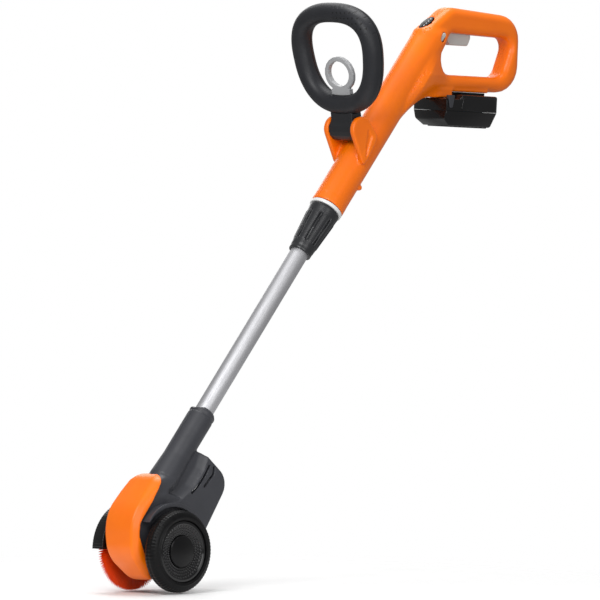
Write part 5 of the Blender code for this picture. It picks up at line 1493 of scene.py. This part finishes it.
@dataclass
class Head(Assembly):
    """The dark head clamshell: drum, neck, motor pod and wheel arch."""

    step: float = 1.08
    pod_half: float = 23.0
    pod_fall: float = 9.5
    pod_fade: float = 13.0
    wall: float = 3.0
    gear_room: float = 27.0
    motor_room: float = 21.7
    arch_radius: float = 58.2
    pod_corners: tuple[Corner, ...] = ((14, 143, 8), (79, 143, 24), (91, 40, 5), (60, 0, 0), (14, 60, 0))
    ridge: tuple[Corner, ...] = ((-30, 160, 0), (26, 150, 6), (34, 124, 14), (34, 92, 20), (24, 60, 16),
                                 (2, 47, 10), (-30, 52, 0))
    vents: tuple[tuple[Corner, ...], ...] = (((44.8, 138, 0), (50.2, 131, 6), (47.7, 108, 0)),
                                             ((37.2, 134, 0), (39, 120, 12), (38.6, 100, 12), (35.8, 88, 0)))

    def build(self) -> None:
        """Work out the head's field once and wrap each half of it."""
        x, _, z = AXLE.origin
        block = Volume((x - 62, -40, z - 44), (x + 128, 33, z + 186), self.step)
        values = self.outside(block)
        values = np.maximum(values, -self.space(block, values))
        whole = block.skin("head", values, 50, 1)
        for side in Side:
            name = side.name.lower()
            self.put(halved(whole, f"head_{name}", side), DARK_SHELL, f"head_shell_{name}")
        bpy.data.objects.remove(whole)
        self.arch()
        self.neck_rib()
        self.keep(TURNED_STEEL, "motor_can", "motor_rotor", "bevel_pinion", "bevel_gear",
                  "spindle_bearing_near", "spindle_bearing_far")

    def outside(self, block: Volume) -> np.ndarray:
        """Return the outer surface's field.

        The pod's sides fall by pod_fall beside the ridge line, steep at the line and level
        pod_fade from it. The neck's radius follows its profile, with a waist under its round end.

        Args:
            block: The sample points.

        Returns:
            The field.
        """
        a, b = block.seen(AXLE)
        u, s = block.seen(SHAFT)
        y = block.y
        across = np.abs(y)
        round_side = np.hypot(a, b - DRUM_RISE) - DRUM_RADIUS
        reach = np.minimum(DRUM_FAR, far_reach(b) - 1.5)
        envelope = hood_envelope(block)
        drum = kept(kept(round_side, DRUM_NEAR - y, 3), y - reach, 3)
        drum = np.maximum(drum, envelope + 2.9 - 0.5 * np.clip(a, 0, 20))
        profile = np.interp(s, [26, 52, 62, 66, 70, 75, 82, 116, 184, 185.2, 186.8, 188, 191, 195],
                            [12, 20, 18.2, 17.2, 17.2, 19.4, 20, 18, 18, 17.2, 17.2, 18, 18, 15.5])
        radius = profile.astype(np.float32)
        neck = np.maximum(np.maximum(np.hypot(u, y) - radius, 26 - s), s - 195)
        hollow = outline_distance(filleted(self.ridge, steps=5), u, s)
        slope = 1 - np.clip(-hollow / self.pod_fade, 0, 1)
        half = self.pod_half - self.pod_fall * (1 - slope ** 2)
        pod = kept(outline_distance(filleted(self.pod_corners), u, s), across - half, 3)
        boss = np.maximum(np.hypot(u - 24, s - 132) - 5.4, np.abs(y - 11.4) - 11.4)
        body = joined(joined(drum, pod, 3), joined(neck, neck_root(block, envelope), 5), 4)
        return joined(body, boss, 1)

    def arch(self) -> None:
        """Turn the wheel arch through its arc, a band with a lip on its free edge that thins to both ends.

        Its thickness follows the root of the distance to the nearer end.
        """
        inner, outer, lip = self.arch_radius, self.arch_radius + 4, self.arch_radius + 5.4
        wall = filleted([(inner, -19.5, 0.3), (inner, -37.6, 0.5), (lip, -37.6, 0.5), (lip, -35.2, 0.6),
                         (outer, -34.2, 0.6), (outer, -19.5, 0.3)], steps=3)
        angles = sweep_angles(220, 32, 137)
        ends = np.minimum(angles - angles[0], angles[-1] - angles) / math.radians(26)
        thick = np.clip(ends, 0.02, 1) ** 0.5
        radius = inner + (wall[:, :1] - inner) * thick[None, :]
        grid = round_about(radius, wall[:, 1], angles, Turn.ACROSS)
        arch = surface("wheel_arch", grid, AXLE, (True, False))
        self.put(arch, DARK_SHELL, "head_shell_near", instead=False)

    def space(self, block: Volume, values: np.ndarray) -> np.ndarray:
        """Return the space inside: behind the wall, less the blocks for gears and motor, plus the bores.

        Args:
            block: The sample points.
            values: The outer surface's field.

        Returns:
            The field.
        """
        a, b = block.seen(AXLE)
        u, s = block.seen(SHAFT)
        y = block.y
        spindle, shaft, motor = np.hypot(a, b) + 0 * y, np.hypot(u, y), np.hypot(u - AXLE_OFFSET, y)
        room = np.maximum(np.maximum(values + self.wall, self.gear_room - spindle), self.motor_room - motor)

        def bore(distance: np.ndarray, radius: float, at: np.ndarray, low: float, high: float) -> np.ndarray:
            """Return a round bore's field."""
            return np.maximum(distance - radius, np.abs(at - (low + high) / 2) - (high - low) / 2)

        parts = [room, bore(shaft, 8, s, 70, 142), bore(shaft, 12.8, s, 141.7, 200)]
        parts += [bore(motor, radius, s, low, high)
                  for radius, low, high in ((9, 8, 50), (6.8, 50, 129.3), (18.8, 61.7, 125.3))]
        parts += [bore(spindle, radius, y, low, high)
                  for radius, low, high in ((21.5, -7, 13), (9.8, -12.3, 18.3), (7, 18, 36), (4.3, -40, -14))]
        for path in self.vents:
            line = even(filleted(path, closed=False), 24)
            parts.append(np.maximum(outline_distance(line, u, s, closed=False) - 1.7, 17 - np.abs(y)))
        for x, z in HEAD_SCREWS:
            parts.append(np.maximum(np.hypot(u - x, s - z) - SCREW_WELL, HEAD_SCREW_SEAT - y))
        return np.minimum.reduce(np.broadcast_arrays(*parts))

    def neck_rib(self) -> None:
        """Lay the thin rib on the neck's side towards the pod, a round bead with tapered ends."""
        t = np.linspace(0, 1, 30)
        radius = 0.9 * np.sin(np.pi * t) ** 0.3 + 0.02
        angle = math.radians(-40)
        out = np.interp(t, [0, 1], [18.3, 19.9]) + 0.2
        ring = sweep_angles(12)
        u = (out * math.cos(angle))[:, None] + radius[:, None] * np.cos(ring)
        y = (out * math.sin(angle))[:, None] + radius[:, None] * np.sin(ring)
        s = np.repeat(np.interp(t, [0, 1], [121, 84])[:, None], ring.size, 1)
        rib = surface("neck_rib", np.stack([u, y, s], -1), SHAFT)
        self.put(rib, DARK_SHELL, "head_shell_near", instead=False)


@dataclass
class FrontCover(Assembly):
    """The orange hood over the front of the drum."""

    step: float = 0.9
    gap: float = 0.4
    inner: tuple[Corner, ...] = ((90, 130, 0), (0, 130, 0), (-1, 101, 3), (-8, 91, 8), (-25.5, 66.5, 18),
                                 (-47.5, 40, 22), (-49.5, 20, 24), (-40.5, -2, 24), (-31, -28, 14),
                                 (-18, -42, 4), (-10, -60, 0), (90, -60, 0))

    def build(self) -> None:
        """Wrap the hood and leave room for the drum, the neck and what fills the space between."""
        x, _, z = AXLE.origin
        block = Volume((x - 64, -29, z - 43), (x + 8, 37, z + 105), self.step)
        a, b = block.seen(AXLE)
        u, s = block.seen(SHAFT)
        y = block.y
        envelope = hood_envelope(block)
        hood = kept(envelope, -outline_distance(filleted(self.inner, steps=10), a, b), 0.8)
        reach = np.minimum(DRUM_FAR, far_reach(b) - 1.5) + 0.3
        drum = np.hypot(a, b - DRUM_RISE) - (DRUM_RADIUS + self.gap)
        room = np.maximum(np.maximum(drum, DRUM_NEAR - self.gap - y), y - reach)
        room = np.maximum(room, envelope + 2.4)
        radius = np.interp(s, [26, 58, 82, 116, 191], [12, 20, 20, 18, 18]).astype(np.float32) + 0.5
        neck = np.maximum(np.hypot(u, y) - radius, 26 - s)
        hood = np.maximum(np.maximum(hood, -room), np.maximum(-neck, self.gap - neck_root(block, envelope)))
        self.put(block.skin("front_hood", hood, 45, 2), ORANGE, "front_cover")


@dataclass
class BrushGuard(Assembly):
    """The black half-round guard over the brush, ribbed outside."""

    ribs: int = 46

    def build(self) -> None:
        """Turn the guard's L-shaped wall through its arc, with ribs across its rim.

        At the rim the radius is cut back by 0.3 mm except at the ribs, where it rises to its
        full size as a power of a cosine.
        """
        start, web, reach = 30.3, 34.0, 53.0
        wall = filleted([(14, start, 0.5), (30, start, 0.8), (30, web, 1), (62.3, web, 1.2),
                         (62.3, reach, 0.8), (60, reach, 0.8), (60, web + 1.8, 1), (14, web + 1.8, 0.5)],
                        steps=4)
        angles = sweep_angles(320, 20, 178)
        rib = np.abs(np.cos(np.linspace(0, math.pi * self.ribs, angles.size))) ** 6
        radius = np.repeat(wall[:, :1], angles.size, 1)
        rim = wall[:, 0] > 61.4
        radius[rim] -= 0.3 * (1 - rib)
        grid = round_about(radius, wall[:, 1], angles, Turn.ACROSS)
        self.put(surface("guard_ribbed", grid, AXLE, (True, False)), BLACK_GLOSS, "brush_guard")


@dataclass
class BrushWheel(Assembly):
    """The spinning brush with its spindle and fastenings."""

    start: float = 37.0
    width: float = 12.0
    hub: float = 24.0
    reach: float = 56.0
    tufts: int = 104
    rows: int = 5

    def build(self) -> None:
        """Make the hub and the tufts, and finish the metal pieces."""
        self.make_tufts()
        self.make_hub()
        self.keep(TURNED_STEEL, "brush_spindle", "brush_flange", "brush_washer", "brush_nut")

    def make_tufts(self) -> None:
        """Make all tufts at once.

        A tuft runs outwards from the hub as an oval of six points that widens with the
        radius and closes to a point at the tip; its line trails by a little of the square of
        its length. Rows stand in line, and small seeded offsets keep them uneven.
        """
        seeded = np.random.default_rng(7)
        count = self.tufts * self.rows
        number = np.arange(count)
        row = number // self.tufts
        base = 2 * math.pi * (number % self.tufts) / self.tufts + seeded.normal(0, 0.001, count)
        depth = self.start + self.width * (row + 0.5) / self.rows
        tip = self.reach - 0.2 - seeded.uniform(0, 0.5, count)
        s = np.array([0, 0.3, 0.6, 0.82, 0.93, 1.0])
        r = 22.5 + (tip[:, None] - 22.5) * s
        thick = np.interp(s, [0, 0.3, 0.6, 0.82, 0.93, 1], [0.55, 0.75, 0.85, 0.72, 0.5, 0.12])
        trail = base[:, None] + 0.05 * s ** 2 + seeded.normal(0, 0.002, count)[:, None] * s ** 2
        splay = depth[:, None] + (depth[:, None] - self.start - self.width / 2) * 0.02 * s
        around = sweep_angles(6)
        tangent = thick[None, :, None] * np.cos(around) * 1.18
        axial = np.minimum(thick, 0.95)[None, :, None] * np.sin(around) * 0.95
        angle = trail[..., None]
        x = r[..., None] * np.cos(angle) - tangent * np.sin(angle)
        z = r[..., None] * np.sin(angle) + tangent * np.cos(angle)
        y = splay[..., None] + axial + 0 * x
        points = np.stack([x, y, z], -1)
        rings, sides = s.size, around.size
        tuft = np.arange(count)[:, None, None] * rings * sides
        i = np.arange(rings - 1)[None, :, None] * sides
        j = np.arange(sides)[None, None, :]
        following = (j + 1) % sides
        quads = np.stack(np.broadcast_arrays(tuft + i + j, tuft + i + following,
                                             tuft + i + sides + following, tuft + i + sides + j), -1)
        obj = solid("brush_tufts", AXLE.world(points.reshape(-1, 3)), quads.reshape(-1, 4), 60, True)
        self.put(obj, BRISTLE, "brush")

    def make_hub(self) -> None:
        """Turn the hub with a raised rim, a dished web and a boss round the bore."""
        low, high = self.start, self.start + self.width
        lower = [(4.4, low + 0.1, 0.4), (11.5, low + 0.1, 0.4), (13, low + 1.6, 0.6), (19, low + 1.6, 0.6),
                 (20.5, low, 0.6), (self.hub, low, 0.8)]
        upper = [(radius, low + high - depth, edge) for radius, depth, edge in reversed(lower)]
        wall = filleted(lower + upper, steps=3)
        grid = round_about(wall[:, 0], wall[:, 1], sweep_angles(96), Turn.ACROSS)
        self.put(surface("brush_hub", grid, AXLE, (True, True)), BLACK_MATT, "brush")


@dataclass
class GuideWheel(Assembly):
    """The rubber-tyred guide wheel with its dotted dish and cap."""

    radius: float = 55.0
    middle: float = 46.0
    half: float = 11.5
    dish: tuple[float, float] = (21.0, 36.0)
    dot_rows: int = 4
    dots: int = 46

    def build(self) -> None:
        """Make tyre, hub and cap, and finish the axle."""
        self.make_tyre()
        self.make_hub()
        self.make_cap()
        self.keep(TURNED_STEEL, "wheel_axle", "axle_clip")

    def make_tyre(self) -> None:
        """Turn the tyre: an oval crown with a bead at its sidewall and short ribs across the tread.

        Depth runs along -y. The ribs rise 0.5 mm as a power of a cosine of the angle, and
        fade down the sidewalls.
        """
        t = np.linspace(-math.pi / 2, math.pi / 2, 61)
        crown = 41.6 + (self.radius - 42.1) * np.abs(np.cos(t)) ** 0.72
        depth = self.middle + self.half * np.sign(np.sin(t)) * np.abs(np.sin(t)) ** 0.9
        bead = 0.9 * np.exp(-((crown - 44.6) / 0.8) ** 2)
        depth = depth + np.sign(np.sin(t)) * bead * (np.abs(np.sin(t)) > 0.6)
        angles = sweep_angles(360)
        rib = np.abs(np.cos(angles * 36)) ** 1.5
        lug = 0.5 * np.clip((np.cos(t) - 0.35) / 0.3, 0, 1)[:, None] * rib[None, :]
        groove = 0.7 * np.exp(-((t / 0.16) ** 2)) + 0.5 * np.exp(-(((np.abs(t) - 0.62) / 0.09) ** 2))
        radius = crown[:, None] + lug - groove[:, None] * 0.9
        radius = np.vstack([radius, np.full((2, angles.size), 41.1)])
        height = -np.concatenate([depth, [self.middle + self.half - 2, self.middle - self.half + 2]])
        grid = round_about(radius, height, angles, Turn.ACROSS)
        self.put(surface("tyre_treaded", grid, AXLE, (True, True)), TYRE, "wheel_tyre")

    def make_hub(self) -> None:
        """Turn the hub; rows of small round dots stand out of its dish.

        A dot lifts the dish as a low dome over the distance to its centre, in staggered rows.
        """
        angles = sweep_angles(552)
        r = np.linspace(9, 36, 76)
        level = np.interp(r, [9, 20, 24, 32, 36], [52.4, 52.4, 52.6, 53.6, 55.2])
        pitch = (self.dish[1] - self.dish[0]) / self.dot_rows
        row = np.floor((r - self.dish[0]) / pitch)
        off_r = (r - self.dish[0]) / pitch - row - 0.5
        turn = angles[None, :] / (2 * math.pi) * self.dots + 0.5 * (row[:, None] % 2)
        off_a = turn - np.floor(turn) - 0.5
        wide = 2 * math.pi * r[:, None] / self.dots
        gap = np.hypot(off_r[:, None] * pitch, off_a * wide)
        inside = (row >= 0) & (row < self.dot_rows)
        lifted = 1.1 * np.sqrt(np.clip(1 - (gap / 1.35) ** 2, 0, 1)) * inside[:, None]
        face = -(level[:, None] + lifted)
        rim = filleted([(37.2, 56.6, 0.8), (40.5, 56.2, 0.8), (40.5, 38.2, 0.5), (37.6, 38.2, 0.5),
                        (36, 47, 1), (9.3, 47, 0.5), (8.2, 25.3, 0.3), (4.4, 25.3, 0.2), (4.4, 49.7, 0.2),
                        (9, 49.8, 0.2)], steps=4)
        radius = np.vstack([np.repeat(r[:, None], angles.size, 1), np.repeat(rim[:, :1], angles.size, 1)])
        height = np.vstack([face, -np.repeat(rim[:, 1:], angles.size, 1)])
        grid = round_about(radius, height, angles, Turn.ACROSS)
        self.put(surface("hub_dotted", grid, AXLE, (True, True), 50), HUB_GLOSS, "wheel_hub")

    def make_cap(self) -> None:
        """Turn the cap, a low dome with a rolled rim."""
        t = np.linspace(0, 1, 22)
        dome_r = 20.2 * t
        dome_h = 57.5 - 2.6 * t ** 2.2
        rim = filleted([(20.6, 55.2, 0), (21.3, 54.4, 0.5), (21.3, 52.9, 0.3), (12, 52.9, 0.2), (12, 54, 0.2),
                        (0, 54, 0)], False, 4)
        radius = np.concatenate([dome_r, rim[:, 0]])
        height = -np.concatenate([dome_h, rim[:, 1]])
        grid = round_about(radius, height, sweep_angles(120), Turn.ACROSS)
        self.put(surface("hub_boss_cap", grid, AXLE), BLACK_MATT, "hub_cap")


@dataclass
class BatteryPack(Assembly):
    """The slide-on battery pack with its latches and cells."""

    taper_top: float = -64.0
    taper_height: float = 19.5
    panel: tuple[float, float] = (31.6, 32.8)
    ribs: int = 9
    rib_pitch: float = 8.0
    rib_width: float = 2.4
    rib_floor: float = -83.3

    def build(self) -> None:
        """Make the case, its side panels and ribs, and finish what is inside."""
        self.put(edged("battery_case_upper", "pack_upper", 0.8), BLACK_GLOSS, "battery_case_upper")
        lower = edged("battery_case_lower", "pack_lower", 0.8)
        reshape(lower, GRIP, self.draw_in)
        self.put(lower, BLACK_GLOSS, "battery_case_lower")
        for side in Side:
            name = side.name.lower()
            latch = edged(f"battery_latch_{name}", f"pack_latch_{name}", 0.5)
            self.put(latch, DARK_SHELL, f"battery_latch_{name}")
            self.side_panel(side)
        for i in range(self.ribs):
            self.rib(i)
        self.keep(CELL_SLEEVE, *[f"battery_cell_{i + 1}" for i in range(5)])

    def draw_in(self, local: np.ndarray) -> None:
        """Draw the lower case in towards its floor: to 0.78 of its width, and 5 mm at its rear end.

        Args:
            local: The case's points, changed in place.
        """
        low = np.clip((self.taper_top - local[:, 2]) / self.taper_height, 0, 1)
        local[:, 1] *= 1 - 0.22 * low
        local[:, 0] -= 5 * low * np.clip((local[:, 0] - 100) / 28, 0, 1)
        local[:, 2] += 1.4 * low

    def side_panel(self, side: Side) -> None:
        """Lay the smooth raised panel on a side of the pack, where a label would go.

        Args:
            side: The side.
        """
        corners = [(64, -44, 2), (124, -44, 3), (124, -60.5, 1.2), (60, -60.5, 1.2)]
        outline = even(filleted(corners), 80, True)
        low, high = sorted(side.value * y for y in self.panel)
        panel = plate(f"pack_panel_{side.name.lower()}", outline, low, high, 0.5, GRIP)
        self.put(panel, BLACK_GLOSS, "battery_case_upper", instead=False)

    def rib(self, number: int) -> None:
        """Lay one of the ribs across the pack's underside.

        Args:
            number: Which rib, from 0 at the front.
        """
        left = 52 + self.rib_pitch * number
        right, floor, top = left + self.rib_width, self.rib_floor, self.rib_floor + 1.5
        outline = filleted([(left, floor, 0.5), (right, floor, 0.5), (right, top, 0), (left, top, 0)],
                           steps=3)
        self.put(plate(f"pack_rib_{number + 1}", outline, -22, 22, 0.4, GRIP), BLACK_GLOSS,
                 "battery_case_lower", instead=False)


# Studio

@dataclass
class Studio:
    """Floor, light and camera, at the photograph's angle."""

    azimuth: float = -43.9
    elevation: float = 3.0
    distance: float = 30000.0
    frame_width: float = 791.8
    shift_right: float = 192.9
    shift_up: float = 329.7
    ambient: float = 0.3
    reflected: float = 0.34
    fade: tuple[float, float] = (0.28, 0.75)
    lamps: tuple[tuple[str, tuple[float, float, float], float, float], ...] = (
        ("key", (-2.0, -0.9, 1.9), 1.3, 37.0),
        ("fill", (-0.9, -2.3, 1.0), 1.6, 21.0),
        ("top", (0.3, 0.2, 2.3), 1.2, 26.0),
        ("back", (1.2, 1.8, 1.4), 1.5, 14.0),
    )

    def build(self) -> None:
        """Set up the whole studio."""
        self.camera()
        self.world()
        self.floor()
        for name, where, size, power in self.lamps:
            self.lamp(name, where, size, power)
        bpy.context.scene.view_settings.view_transform = "Standard"

    def camera(self) -> None:
        """Place the camera at the photograph's viewpoint, with a long lens."""
        a, e = math.radians(self.azimuth), math.radians(self.elevation)
        back = Vector((math.sin(a) * math.cos(e), -math.cos(a) * math.cos(e), math.sin(e)))
        right = Vector((math.cos(a), math.sin(a), 0))
        up = back.cross(right)
        target = Vector(AXLE.origin) + right * self.shift_right + up * self.shift_up
        data = bpy.data.cameras.new("camera")
        data.lens = data.sensor_width * self.distance / self.frame_width
        data.clip_end = 100
        camera = bpy.data.objects.new("camera", data)
        bpy.context.scene.collection.objects.link(camera)
        camera.location = (target + back * self.distance) * MM
        camera.rotation_mode = "QUATERNION"
        camera.rotation_quaternion = back.to_track_quat("Z", "Y")
        bpy.context.scene.camera = camera

    def world(self) -> None:
        """Make the backdrop white to the camera and behind glass, and a soft grey light elsewhere."""
        world = bpy.data.worlds.new("studio_world")
        world.use_nodes = True
        tree = world.node_tree
        tree.nodes.clear()
        path = tree.nodes.new("ShaderNodeLightPath").outputs
        seen = add(tree, "ShaderNodeMath", {"operation": "MAXIMUM"}, in_0=path["Is Camera Ray"],
                   in_1=path["Is Transmission Ray"]).outputs[0]
        dim = add(tree, "ShaderNodeMath", {"operation": "MULTIPLY_ADD"}, in_0=path["Is Glossy Ray"],
                  in_1=self.reflected - self.ambient, in_2=self.ambient).outputs[0]
        strength = add(tree, "ShaderNodeMath", {"operation": "MAXIMUM"}, in_0=seen, in_1=dim).outputs[0]
        background = add(tree, "ShaderNodeBackground", {}, Color=(1, 1, 1, 1), Strength=strength)
        add(tree, "ShaderNodeOutputWorld", {}, Surface=background.outputs[0])
        bpy.context.scene.world = world

    def floor(self) -> None:
        """Lay a pale round floor that fades into the backdrop away from the tool."""
        grid = round_about(np.array([0, 150, 400, 800, 1400.0]), np.zeros(5), sweep_angles(64), Turn.ALONG)
        obj = surface("floor", grid, Place((0, 0, -0.3), 0.0), closed=False)
        made = bpy.data.materials.new("floor_white_paper")
        made.use_nodes = True
        tree = made.node_tree
        shader = plug(tree, tree.nodes["Principled BSDF"], Base_Color=linear("#F4F4F4"), Roughness=0.7)
        place = tree.nodes.new("ShaderNodeTexCoord").outputs["Object"]
        centred = add(tree, "ShaderNodeMapping", {"vector_type": "TEXTURE"}, Vector=place,
                      Location=(-0.25, 0, 0)).outputs[0]
        reach = add(tree, "ShaderNodeVectorMath", {"operation": "LENGTH"}, in_0=centred).outputs["Value"]
        fade = add(tree, "ShaderNodeMapRange", {}, Value=reach, From_Min=self.fade[0],
                   From_Max=self.fade[1]).outputs["Result"]
        clear = tree.nodes.new("ShaderNodeBsdfTransparent").outputs[0]
        both = add(tree, "ShaderNodeMixShader", {}, in_0=fade, in_1=shader.outputs[0], in_2=clear).outputs[0]
        plug(tree, tree.nodes["Material Output"], Surface=both)
        obj.data.materials.append(made)

    def lamp(self, name: str, where: tuple[float, float, float], size: float, power: float) -> None:
        """Hang one large soft lamp, aimed at the tool's middle.

        Args:
            name: The lamp's name.
            where: Its place in metres.
            size: Its width in metres.
            power: Its power in watts.
        """
        data = bpy.data.lights.new(name, "AREA")
        data.size = size
        data.energy = power
        obj = bpy.data.objects.new(name, data)
        obj.location = where
        aim = Vector((0, 0, 0.35)) - Vector(where)
        obj.rotation_mode = "QUATERNION"
        obj.rotation_quaternion = aim.to_track_quat("-Z", "Y")
        obj.visible_camera = False
        bpy.context.scene.collection.objects.link(obj)


def main() -> None:
    """Build the studio and the tool, one sub-assembly after another."""
    logging.basicConfig(level=logging.INFO, format="%(name)s: %(message)s")
    Studio().build()
    for assembly in (Screws(), Tube(), Housing(), Controls(), LoopHandle(), Head(), FrontCover(),
                     BrushGuard(), BrushWheel(), GuideWheel(), BatteryPack()):
        assembly.build()


if __name__ == "__main__":
    main()
